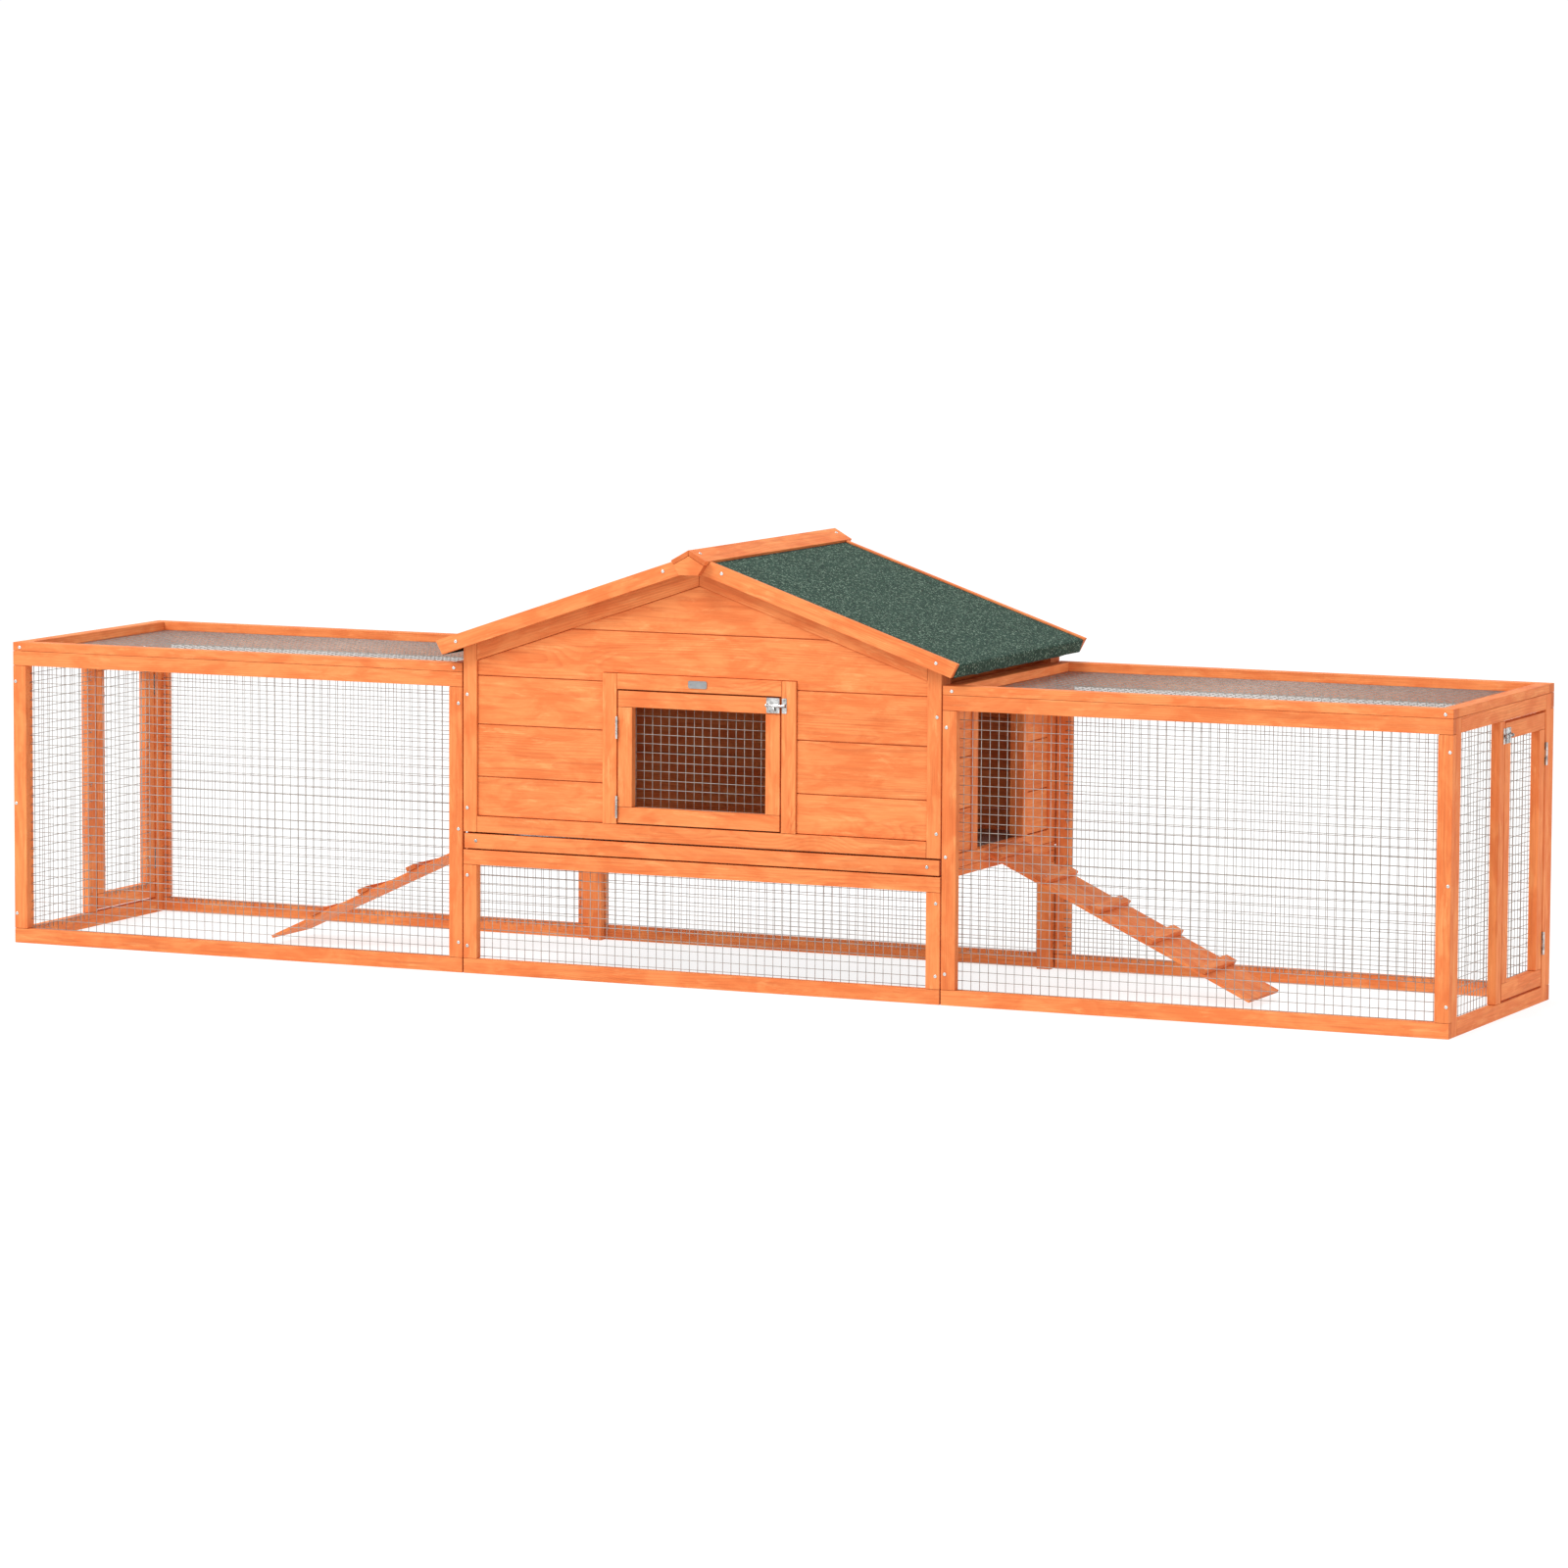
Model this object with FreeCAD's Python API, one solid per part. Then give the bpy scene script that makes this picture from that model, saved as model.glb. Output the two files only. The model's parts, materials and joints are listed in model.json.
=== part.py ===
import FreeCAD, Part
import math
import os

# Rabbit hutch: a pitched-roof house raised over a low run, between two long mesh runs.
# Millimetres.  The origin is on the floor at the middle of the footprint, +X runs along
# the length to the right of the house door, +Y to the back and +Z up.

# ---- driving dimensions ----
LENGTH = 3090.0             # over both runs
DEPTH = 600.0               # over the front and back panels
RUN_HEIGHT = 600.0          # run panels, without the frame on top of them
BATTEN_W = 30.0             # face width of the framing battens
BATTEN_T = 18.0             # thickness of the framing battens
HOUSE_LENGTH = 1028.0       # over the house's corner stiles
MODULE_GAP = 2.0            # between the house and each run
HOUSE_BASE = 283.0          # underside of the house's front panel
LOWER_TOP = 247.5           # top of the low run's panels
ROOF_SLOPE = 0.34           # rise over run
EAVE_X = 560.0              # top corner of a bargeboard's lower end
EAVE_Z = 662.5

# ---- wire mesh ----
SHEET_T = 0.2               # flat sheet that stands for the woven wire
MESH_LAP = 10.0             # how far the mesh laps onto its frame
WIRE_SPACE = 2.6            # room for the woven wire where a leg stands against it

# ---- house walls ----
PLANK_T = 12.0
PLANK_INSET = 5.0           # planks stand back from the frame's face
PLANK_LINES = (394.0, 498.0, 594.5, 695.0)
SIDE_PLANK_LINES = (368.0, 468.0, 568.0)
SIDE_WALL_TOP = 618.0       # an open slot under the roof airs the house above this
SILL_RAIL_TOP = 315.0       # top of the bottom rail in the front and back walls
BACK_RAIL_BASE = 250.0
SURROUND_INNER = 177.0      # house door opening, half width
SURROUND_W = 31.0
SURROUND_RAIL = (581.0, 612.0)
TRIM_DROP = 60.0            # lower edge of the gable trims, square to the slope
DOORWAY_HALF = 115.0        # side doorway, half width
JAMB_W = 24.0
JAMB_DEPTH = 29.0
DOORWAY_TOP = 568.0

# ---- floor of the house ----
BEARER_Z = (240.0, 257.0)
LEG_T = 16.0
TRAY_FRONT = (250.0, 280.0)
TRAY_FRONT_T = 17.5
TRAY_FRONT_HALF = 512.0
TRAY_RAIL_Z = (257.5, 275.5)
TRAY_RAIL_T = 16.0
TRAY_HALF = 494.0
TRAY_BACK_Y = 264.0
TRAY_SHEET_T = 0.6

# ---- roof ----
BARGE_W = 30.5
BARGE_T = 12.0
BARGE_CUT = 5.0             # set-back of the lower corner at its end
BARGE_FACE_Y = 331.0        # outer face of the bargeboards
FELT_DROP = 3.0             # felt lies this far below the bargeboards' top edge
FELT_T = 2.5
FELT_WRAP = 27.0            # length of felt turned down over the eave
FELT_INSET = 1.5            # felt's outer end, in from the bargeboards' ends
ROOF_BOARD_T = 12.0
CAP_SLOPE = 0.56            # the cap is steeper than the roof
CAP_TOP = 862.8
CAP_T = 10.0
CAP_HALF = 38.0             # outer corner of the cap's edge
CAP_FACE_Y = 349.0
FELT_START = 37.5           # the felt ends here, beside the cap's edge
PLATE_FOOT = (20.5, 812.8)  # lower corner of the apex plates
RIDGE_BATTEN = (24.0, 30.0)

# ---- doors ----
DOOR_GAP = 2.6
END_HINGE_GAP = 5.0         # beside the end doors' back stile
HOUSE_DOOR_HALF = 174.4
HOUSE_DOOR_Z = (317.5, 578.4)
HOUSE_DOOR_RAIL = 32.0
HOUSE_DOOR_STILE = 31.0
END_DOOR_Y = (6.6, 246.0)
END_DOOR_Z = (34.0, 565.5)
END_DOOR_STOCK = 32.5
END_POST_Y = (-27.0, 4.0)

# ---- hinges and latches ----
HINGE_LENGTH = 44.0
HINGE_PROUD = 2.7           # hinge axis in front of the face it stands on
KNUCKLE_R = 2.6
PIN_R = 1.2
RUNNING_CLEARANCE = 0.05
END_SLACK = 0.1             # between a hinge's knuckles
KNUCKLE_NOTCH = 0.3         # room round a knuckle in the other leaf
LEAF_T = 0.9
LEAF_DEPTH = 20.0
HOUSE_HINGES_Z = (349.0, 505.5)
END_HINGES_Z = (116.5, 485.0)
LATCH_PLATE_HALF = 15.0
LATCH_PLATE_T = 1.2
LATCH_PLATE_X = (-30.0, -2.0)
LATCH_STRAPS = ((-29.5, -26.9), (-9.0, -2.5))
LATCH_SCREWS = (-24.0, -8.0)
KEEPER_X = (3.0, 13.0)
KEEPER_STRAPS = ((4.5, 11.5),)
KEEPER_SCREWS = (8.0,)
LATCH_SCREW_INSET = 3.5
BOLT_R = 2.5
BOLT_PROUD = 4.6
BOLT_ENDS = (-31.5, 11.5)
STRAP_R = 3.6
KNOB_X = -12.6
KNOB_R = 1.7
KNOB_LENGTH = 11.0
HOUSE_LATCH_Z = 563.5
END_LATCH_Z = 541.0

# ---- ramps ----
RAMP_SLOPE = 0.468
RAMP_HALF = 80.0
RAMP_T = 7.0
RAMP_SPAN = (2.0, 605.0)    # along the slope from the hinge axis
RAMP_AXIS = (516.5, 264.6)  # x, z
RAMP_RISE = 2.9             # underside of the board above the axis, square to it
CLEAT_W = 24.0
CLEAT_T = 10.0
CLEAT_HALF = 84.0           # the cleats reach past the board's edges
CLEAT_ENDS = (30.0, 134.0, 256.7, 379.4, 502.0)
RAMP_HINGE_Y = 22.0
RAMP_HINGE_LENGTH = 30.0
RAMP_LEAF = 10.0
RAMP_FLAP = 18.0
RAMP_NOTCH = 0.6
RAMP_KNUCKLE_R = 2.4
RAMP_PIN_R = 1.0

# ---- screws and badge ----
SCREW_R = 3.5
SCREW_RISE = 1.3
SMALL_SCREW_R = 2.0
SMALL_SCREW_RISE = 0.8
HEAD_TAPER = 0.7            # top radius of a head against its foot's
RUN_SCREW_Z = (537.4, 287.4, 60.8)
RUN_SCREW_INSETS = (6.0, 8.6)       # from a run's outer end and from its house end
TOP_SCREW_Z = 607.5
TOP_SCREW_INSETS = (16.0, 19.0)
STILE_SCREW_Z = (556.2, 330.8, 196.4, 55.4)
STILE_SCREW_INSET = 9.0
BARGE_SCREWS = ((63.0, 818.0), (515.0, 663.0))
CAP_SCREW = (16.0, 25.0)    # down the cap's slope, and in from its end
TRAY_SCREW_Z = 266.0
BADGE = (40.0, 15.0, 1.5)
BADGE_CENTRE = (-2.0, 596.5)

# ---- worked out from the dimensions above ----
HALF = LENGTH / 2
FRONT = -DEPTH / 2
INNER = FRONT + BATTEN_T            # back face of the front panels
HOUSE_HALF = HOUSE_LENGTH / 2
STILE_IN = HOUSE_HALF - BATTEN_W
RUN_IN = HOUSE_HALF + MODULE_GAP
ROOF_COS = 1 / math.hypot(1, ROOF_SLOPE)
ROOF_SIN = ROOF_SLOPE * ROOF_COS
RIDGE_Z = EAVE_Z + ROOF_SLOPE * EAVE_X
SLOPE_LENGTH = EAVE_X / ROOF_COS
BOARD_DROP = FELT_DROP + FELT_T
UNDERSIDE_DROP = BOARD_DROP + ROOF_BOARD_T
CAP_COS = 1 / math.hypot(1, CAP_SLOPE)
CAP_SIN = CAP_SLOPE * CAP_COS
ORIGIN = FreeCAD.Vector(0, 0, 0)
AXIS_X = FreeCAD.Vector(1, 0, 0)
AXIS_Y = FreeCAD.Vector(0, 1, 0)
AXIS_Z = FreeCAD.Vector(0, 0, 1)


# ---- shapes ----
def box(x, y, z):
    """A square-cut piece, each side given as (low, high)."""
    corner = FreeCAD.Vector(x[0], y[0], z[0])
    return Part.makeBox(x[1] - x[0], y[1] - y[0], z[1] - z[0], corner)


def prism(outline, y):
    """An outline of (x, z) points carried along Y."""
    points = [FreeCAD.Vector(px, y[0], pz) for px, pz in outline]
    face = Part.Face(Part.makePolygon(points + points[:1]))
    return face.extrude(FreeCAD.Vector(0, y[1] - y[0], 0))


def rod(radius, centre, axis, length):
    """A round bar from centre along axis."""
    return Part.makeCylinder(radius, length, FreeCAD.Vector(*centre), axis)


def in_x(solids):
    """The same pieces mirrored to the other end of the hutch."""
    return [s.mirror(ORIGIN, AXIS_X) for s in solids]


def in_y(solids):
    """The same pieces mirrored to the other side of the hutch."""
    return [s.mirror(ORIGIN, AXIS_Y) for s in solids]


def both_ends(solids):
    return solids + in_x(solids)


def both_sides(solids):
    return solids + in_y(solids)


def upright_frame(x, z, y):
    """Full-width rails at the top and bottom with a post at each end between them."""
    low, high = z[0] + BATTEN_W, z[1] - BATTEN_W
    return [
        box(x, y, (z[0], low)),
        box(x, y, (high, z[1])),
        box((x[0], x[0] + BATTEN_W), y, (low, high)),
        box((x[1] - BATTEN_W, x[1]), y, (low, high)),
    ]


def front_sheet(x, z, border, inner=INNER):
    """Mesh on the inner face of a front frame whose outside is x by z."""
    edge = border - MESH_LAP
    return box((x[0] + edge, x[1] - edge), (inner, inner + SHEET_T), (z[0] + edge, z[1] - edge))


def roof_z(x, drop):
    """Height of the line that lies `drop` under the bargeboards' top edge, at x."""
    return RIDGE_Z - ROOF_SLOPE * x - drop / ROOF_COS


def slope_point(along, drop):
    """A point of the right-hand slope, from its distance along it and its drop."""
    x = along * ROOF_COS - drop * ROOF_SIN
    return x, RIDGE_Z - along * ROOF_SIN - drop * ROOF_COS


def slope_board(along, drops, y, set_back=0.0):
    """A board parallel to the slope, mitred at the ridge.

    Its lower end is cut square, or set back at the underside.
    """
    top, bottom = drops
    outline = [
        (0, roof_z(0, top)),
        slope_point(along, top),
        slope_point(along - set_back, bottom),
        (0, roof_z(0, bottom)),
    ]
    return prism(outline, y)


def under_roof(x, y, base):
    """An upright piece whose top is cut to the underside of the roof."""
    outline = [
        (x[0], base),
        (x[1], base),
        (x[1], roof_z(x[1], UNDERSIDE_DROP)),
        (x[0], roof_z(x[0], UNDERSIDE_DROP)),
    ]
    return prism(outline, y)


# ---- runs (right-hand one; the left-hand one is its mirror image) ----
def run_front_frame():
    return upright_frame((RUN_IN, HALF), (0, RUN_HEIGHT), (FRONT, INNER))


def run_end_frame():
    x = (HALF - BATTEN_T, HALF)
    front = (INNER, INNER + BATTEN_W)
    back = (END_DOOR_Y[1] + END_HINGE_GAP, -INNER)
    rails_y = (front[1], back[0])
    return [
        box(x, front, (0, RUN_HEIGHT)),
        box(x, back, (0, RUN_HEIGHT)),
        box(x, rails_y, (0, BATTEN_W)),
        box(x, rails_y, (RUN_HEIGHT - BATTEN_W, RUN_HEIGHT)),
        box(x, END_POST_Y, (BATTEN_W, RUN_HEIGHT - BATTEN_W)),
    ]


def run_top_frame():
    z = (RUN_HEIGHT, RUN_HEIGHT + BATTEN_T)
    strip = (FRONT, FRONT + BATTEN_W)
    across = (strip[1], -strip[1])
    return both_sides([box((RUN_IN, HALF), strip, z)]) + [
        box((HALF - BATTEN_W, HALF), across, z),
        box((RUN_IN, RUN_IN + BATTEN_W), across, z),
    ]


def run_meshes():
    x, z = (RUN_IN, HALF), (0, RUN_HEIGHT)
    side = front_sheet(x, z, BATTEN_W)
    end_x = HALF - BATTEN_T
    bay = (INNER + BATTEN_W - MESH_LAP, END_POST_Y[0] + MESH_LAP)
    reach = BATTEN_W - MESH_LAP
    top_x = (RUN_IN + reach, HALF - reach)
    top_y = (FRONT + reach, -FRONT - reach)
    return both_sides([side]) + [
        box((end_x - SHEET_T, end_x), bay, (reach, RUN_HEIGHT - reach)),
        box(top_x, top_y, (RUN_HEIGHT - SHEET_T, RUN_HEIGHT)),
    ]


# ---- low run under the house ----
def lower_front_frame():
    return upright_frame((-HOUSE_HALF, HOUSE_HALF), (0, LOWER_TOP), (FRONT, INNER))


def lower_meshes():
    return both_sides([front_sheet((-HOUSE_HALF, HOUSE_HALF), (0, LOWER_TOP), BATTEN_W)])


def bearers():
    """Two bearers across the house, and one along its front and one along its back."""
    across = box((STILE_IN, HOUSE_HALF), (INNER, -INNER), BEARER_Z)
    along = box((-STILE_IN, STILE_IN), (INNER, INNER + LEG_T), BEARER_Z)
    return both_ends([across]) + both_sides([along])


def rear_legs():
    back = -INNER - WIRE_SPACE
    return both_ends([box((STILE_IN, HOUSE_HALF), (back - LEG_T, back), (0, BEARER_Z[0]))])


# ---- house walls ----
def gable_trims(y):
    outline = [
        (0, roof_z(0, UNDERSIDE_DROP)),
        (STILE_IN, roof_z(STILE_IN, UNDERSIDE_DROP)),
        (STILE_IN, roof_z(STILE_IN, TRIM_DROP)),
        (0, roof_z(0, TRIM_DROP)),
    ]
    return both_ends([prism(outline, y)])


def house_front_frame():
    y = (FRONT, INNER)
    surround = (SURROUND_INNER, SURROUND_INNER + SURROUND_W)
    uprights = [
        under_roof((STILE_IN, HOUSE_HALF), y, HOUSE_BASE),
        box(surround, y, (SILL_RAIL_TOP, SURROUND_RAIL[1])),
    ]
    rails = [
        box((-STILE_IN, STILE_IN), y, (HOUSE_BASE, SILL_RAIL_TOP)),
        box((-SURROUND_INNER, SURROUND_INNER), y, SURROUND_RAIL),
    ]
    return both_ends(uprights) + rails + gable_trims(y)


def house_back_frame():
    y = (-INNER, -FRONT)
    stiles = [under_roof((STILE_IN, HOUSE_HALF), y, BACK_RAIL_BASE)]
    rail = [box((-STILE_IN, STILE_IN), y, (BACK_RAIL_BASE, SILL_RAIL_TOP))]
    return both_ends(stiles) + rail + gable_trims(y)


def gable_planks(openings):
    """Front wall planks: rows cut to the gable, with the openings taken out."""
    y = (FRONT + PLANK_INSET, FRONT + PLANK_INSET + PLANK_T)
    gable = prism(
        [
            (-STILE_IN, SILL_RAIL_TOP),
            (STILE_IN, SILL_RAIL_TOP),
            (STILE_IN, roof_z(STILE_IN, TRIM_DROP)),
            (0, roof_z(0, TRIM_DROP)),
            (-STILE_IN, roof_z(STILE_IN, TRIM_DROP)),
        ],
        y,
    )
    levels = (SILL_RAIL_TOP,) + PLANK_LINES + (RIDGE_Z,)
    planks = []
    for low, high in zip(levels, levels[1:]):
        row = gable.common(box((-STILE_IN, STILE_IN), y, (low, high)))
        for opening in openings:
            row = row.cut(opening)
        planks += row.Solids
    return planks


def house_front_planks():
    reach = SURROUND_INNER + SURROUND_W
    doorway = box((-reach, reach), (FRONT, INNER), (SILL_RAIL_TOP, SURROUND_RAIL[1]))
    return gable_planks([doorway])


def house_side_frame():
    """Right-hand side wall: stiles, rails, and the doorway's jambs and lintel."""
    x = (HOUSE_HALF - BATTEN_T, HOUSE_HALF)
    jamb_x = (HOUSE_HALF - JAMB_DEPTH, HOUSE_HALF)
    reach = -INNER - BATTEN_W
    jamb = (DOORWAY_HALF, DOORWAY_HALF + JAMB_W)
    lintel_top = DOORWAY_TOP + JAMB_W
    return both_sides(
        [
            under_roof(x, (reach, -INNER), BEARER_Z[1]),
            box(jamb_x, jamb, (HOUSE_BASE, lintel_top)),
        ]
    ) + [
        box(x, (-reach, reach), (BEARER_Z[1], HOUSE_BASE)),
        box(x, (-reach, reach), (lintel_top, SIDE_WALL_TOP)),
        box(jamb_x, (-DOORWAY_HALF, DOORWAY_HALF), (DOORWAY_TOP, lintel_top)),
    ]


def house_side_planks():
    outer = HOUSE_HALF - PLANK_INSET
    x = (outer - PLANK_T, outer)
    reach = -INNER - BATTEN_W
    jamb = DOORWAY_HALF + JAMB_W
    doorway = box((0, HOUSE_HALF), (-jamb, jamb), (HOUSE_BASE, DOORWAY_TOP + JAMB_W))
    levels = (HOUSE_BASE,) + SIDE_PLANK_LINES + (DOORWAY_TOP + JAMB_W,)
    planks = []
    for low, high in zip(levels, levels[1:]):
        planks += box(x, (-reach, reach), (low, high)).cut(doorway).Solids
    return planks


def badge():
    width, height, thickness = BADGE
    cx, cz = BADGE_CENTRE
    x = (cx - width / 2, cx + width / 2)
    return [box(x, (FRONT - thickness, FRONT), (cz - height / 2, cz + height / 2))]


# ---- roof ----
def roof_board():
    y = BARGE_FACE_Y - BARGE_T
    along = SLOPE_LENGTH - FELT_INSET - FELT_T
    board = slope_board(along, (BOARD_DROP, UNDERSIDE_DROP), (-y, y))
    return board.cut(cap_board()).Solids


def roof_felt():
    """Felt over the board from the ridge cap, turned down over the board's lower end."""
    y = BARGE_FACE_Y - BARGE_T
    outer = SLOPE_LENGTH - FELT_INSET
    inner = outer - FELT_T
    outline = [
        (FELT_START, roof_z(FELT_START, FELT_DROP)),
        slope_point(outer, FELT_DROP),
        slope_point(outer, FELT_DROP + FELT_WRAP),
        slope_point(inner, FELT_DROP + FELT_WRAP),
        slope_point(inner, BOARD_DROP),
        (FELT_START, roof_z(FELT_START, BOARD_DROP)),
    ]
    return [prism(outline, (-y, y))]


def cap_underside():
    """Points (x, z) of the cap's underside: under its top edge, and at its outer edge."""
    outer_z = CAP_TOP - CAP_SLOPE * CAP_HALF - CAP_T * CAP_COS
    return (0, CAP_TOP - CAP_T / CAP_COS), (CAP_HALF - CAP_T * CAP_SIN, outer_z)


def cap_board():
    """The cap's right-hand board, mitred at the ridge and square-cut at its edge."""
    under_ridge, under_edge = cap_underside()
    outer = (CAP_HALF, CAP_TOP - CAP_SLOPE * CAP_HALF)
    outline = [(0, CAP_TOP), outer, under_edge, under_ridge]
    return prism(outline, (-CAP_FACE_Y, CAP_FACE_Y))


def ridge_cap():
    return both_ends([cap_board()])


def bargeboards():
    """Bargeboards mitred at the ridge, with the cap let into their top edges."""
    y = (-BARGE_FACE_Y, BARGE_T - BARGE_FACE_Y)
    board = slope_board(SLOPE_LENGTH, (0, BARGE_W), y, BARGE_CUT).cut(cap_board())
    return both_sides(both_ends(board.Solids))


def apex_plates():
    """Five-sided blocks that close the ridge cap over the bargeboards' joint."""
    under_ridge, under_edge = cap_underside()
    right = [under_edge, PLATE_FOOT]
    left = [(-x, z) for x, z in reversed(right)]
    outline = [under_ridge] + right + left
    return both_sides([prism(outline, (-CAP_FACE_Y, -BARGE_FACE_Y))])


def ridge_batten():
    width, height = RIDGE_BATTEN
    top = roof_z(width / 2, UNDERSIDE_DROP)
    return [box((-width / 2, width / 2), (INNER, -INNER), (top - height, top))]


# ---- slide-out tray ----
def tray_frame():
    front = box(
        (-TRAY_FRONT_HALF, TRAY_FRONT_HALF), (FRONT, FRONT + TRAY_FRONT_T), TRAY_FRONT
    )
    y = (FRONT + TRAY_FRONT_T, TRAY_BACK_Y)
    inside = TRAY_HALF - TRAY_RAIL_T
    back_y = (TRAY_BACK_Y - TRAY_RAIL_T, TRAY_BACK_Y)
    middle = TRAY_RAIL_T / 2
    return both_ends([box((inside, TRAY_HALF), y, TRAY_RAIL_Z)]) + [
        front,
        box((-inside, inside), back_y, TRAY_RAIL_Z),
        box((-middle, middle), (y[0], back_y[0]), TRAY_RAIL_Z),
    ]


def tray_steel():
    """The sheet that makes the floor, and the two screws in the tray's front."""
    y = (FRONT + TRAY_FRONT_T, TRAY_BACK_Y)
    z = (TRAY_RAIL_Z[1], TRAY_RAIL_Z[1] + TRAY_SHEET_T)
    screws = [front_screw(TRAY_HALF - TRAY_RAIL_T / 2, TRAY_SCREW_Z, FRONT)]
    return [box((-TRAY_HALF, TRAY_HALF), y, z)] + both_ends(screws)


# ---- screws ----
def front_screw(x, z, face, radius=SCREW_R, rise=SCREW_RISE):
    """A low domed head standing on a face that looks to the front."""
    foot = FreeCAD.Vector(x, face, z)
    return Part.makeCone(radius, HEAD_TAPER * radius, rise, foot, -AXIS_Y)


def fixing_screws():
    run_x = (HALF - RUN_SCREW_INSETS[0], RUN_IN + RUN_SCREW_INSETS[1])
    top_x = (HALF - TOP_SCREW_INSETS[0], RUN_IN + TOP_SCREW_INSETS[1])
    at_face = [(x, z) for x in run_x for z in RUN_SCREW_Z]
    at_face += [(x, TOP_SCREW_Z) for x in top_x]
    at_face += [(HOUSE_HALF - STILE_SCREW_INSET, z) for z in STILE_SCREW_Z]
    heads = [front_screw(x, z, FRONT) for x, z in at_face]
    heads += [front_screw(x, z, -BARGE_FACE_Y) for x, z in BARGE_SCREWS]
    along, inset = CAP_SCREW
    foot = FreeCAD.Vector(along * CAP_COS, inset - CAP_FACE_Y, CAP_TOP - along * CAP_SIN)
    up = FreeCAD.Vector(CAP_SIN, 0, CAP_COS)
    heads.append(Part.makeCone(SCREW_R, HEAD_TAPER * SCREW_R, SCREW_RISE, foot, up))
    return both_sides(both_ends(heads))


# ---- butt hinges ----
def butt_hinge(gap):
    """(fixed leaf, moving leaf, pin) of a hinge on the Z axis, in a gap of this width.

    The door is on the +X side, the faces look to -Y, and the leaves lie in the gap.
    """
    half = HINGE_LENGTH / 2
    third = HINGE_LENGTH / 6
    cut_x = (-gap, gap)
    cut_y = (0, KNUCKLE_R + KNUCKLE_NOTCH)
    middle = third + END_SLACK
    fixed = box((-gap / 2, LEAF_T - gap / 2), (0, LEAF_DEPTH), (-half, half))
    fixed = fixed.cut(box(cut_x, cut_y, (-middle, middle)))
    for span in ((-half, -middle), (middle, half)):
        fixed = fixed.fuse(rod(KNUCKLE_R, (0, 0, span[0]), AXIS_Z, span[1] - span[0]))
    fixed = fixed.cut(rod(PIN_R, (0, 0, -half), AXIS_Z, HINGE_LENGTH))
    moving = box((gap / 2 - LEAF_T, gap / 2), (0, LEAF_DEPTH), (-half, half))
    for span in ((-half, -third), (third, half)):
        moving = moving.cut(box(cut_x, cut_y, span))
    moving = moving.fuse(rod(KNUCKLE_R, (0, 0, -third), AXIS_Z, 2 * third))
    moving = moving.cut(rod(PIN_R + RUNNING_CLEARANCE, (0, 0, -half), AXIS_Z, HINGE_LENGTH))
    pin = rod(PIN_R, (0, 0, -half), AXIS_Z, HINGE_LENGTH)
    return fixed, moving, pin


def at_end_door(shape):
    """Turn hardware made for a -Y face onto the right-hand end, hinged at the back."""
    turned = shape.mirror(ORIGIN, AXIS_X)
    turned.rotate(ORIGIN, AXIS_Z, 90)
    return turned


def moved(shape, x, y, z):
    placed = shape.copy()
    placed.translate(FreeCAD.Vector(x, y, z))
    return placed


def house_hinges(piece):
    x = -HOUSE_DOOR_HALF - DOOR_GAP / 2
    return [moved(piece, x, FRONT - HINGE_PROUD, z) for z in HOUSE_HINGES_Z]


def end_hinges(piece):
    """The right-hand end door's two hinges."""
    y = END_DOOR_Y[1] + END_HINGE_GAP / 2
    turned = at_end_door(piece)
    return [moved(turned, HALF + HINGE_PROUD, y, z) for z in END_HINGES_Z]


# ---- barrel bolts ----
def strap(x):
    """A loop that holds the bolt, standing on a plate; x is its (low, high)."""
    width = x[1] - x[0]
    centre = (x[0], -BOLT_PROUD, 0)
    arch = rod(STRAP_R, centre, AXIS_X, width)
    foot = box(x, (-BOLT_PROUD, -LATCH_PLATE_T), (-STRAP_R, STRAP_R))
    return arch.fuse(foot).cut(rod(BOLT_R + RUNNING_CLEARANCE, centre, AXIS_X, width))


def plate(x, straps, screws_x):
    """A screwed plate with its straps, and its screws."""
    half = LATCH_PLATE_HALF
    body = box(x, (-LATCH_PLATE_T, 0), (-half, half))
    for span in straps:
        body = body.fuse(strap(span))
    screws = [
        front_screw(sx, sz, -LATCH_PLATE_T, SMALL_SCREW_R, SMALL_SCREW_RISE)
        for sx in screws_x
        for sz in (LATCH_SCREW_INSET - half, half - LATCH_SCREW_INSET)
    ]
    return [body.removeSplitter()] + screws


def latch_plate():
    return plate(LATCH_PLATE_X, LATCH_STRAPS, LATCH_SCREWS)


def latch_keeper():
    return plate(KEEPER_X, KEEPER_STRAPS, KEEPER_SCREWS)


def latch_bolt():
    """A round bolt with a finger knob turned down beside its plate."""
    low, high = BOLT_ENDS
    bolt = rod(BOLT_R, (low, -BOLT_PROUD, 0), AXIS_X, high - low)
    knob = rod(KNOB_R, (KNOB_X, -BOLT_PROUD, 0), -AXIS_Z, KNOB_LENGTH)
    return [bolt.fuse(knob)]


def house_latch(pieces):
    x = HOUSE_DOOR_HALF + DOOR_GAP / 2
    return [moved(p, x, FRONT, HOUSE_LATCH_Z) for p in pieces]


def end_latch(pieces):
    y = END_DOOR_Y[0] - DOOR_GAP / 2
    return [moved(at_end_door(p), HALF, y, END_LATCH_Z) for p in pieces]


# ---- doors ----
def house_door_frame():
    y = (FRONT, INNER)
    x = (-HOUSE_DOOR_HALF, HOUSE_DOOR_HALF)
    low = HOUSE_DOOR_Z[0] + HOUSE_DOOR_RAIL
    high = HOUSE_DOOR_Z[1] - HOUSE_DOOR_RAIL
    stile = (HOUSE_DOOR_HALF - HOUSE_DOOR_STILE, HOUSE_DOOR_HALF)
    return both_ends([box(stile, y, (low, high))]) + [
        box(x, y, (HOUSE_DOOR_Z[0], low)),
        box(x, y, (high, HOUSE_DOOR_Z[1])),
    ]


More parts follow.
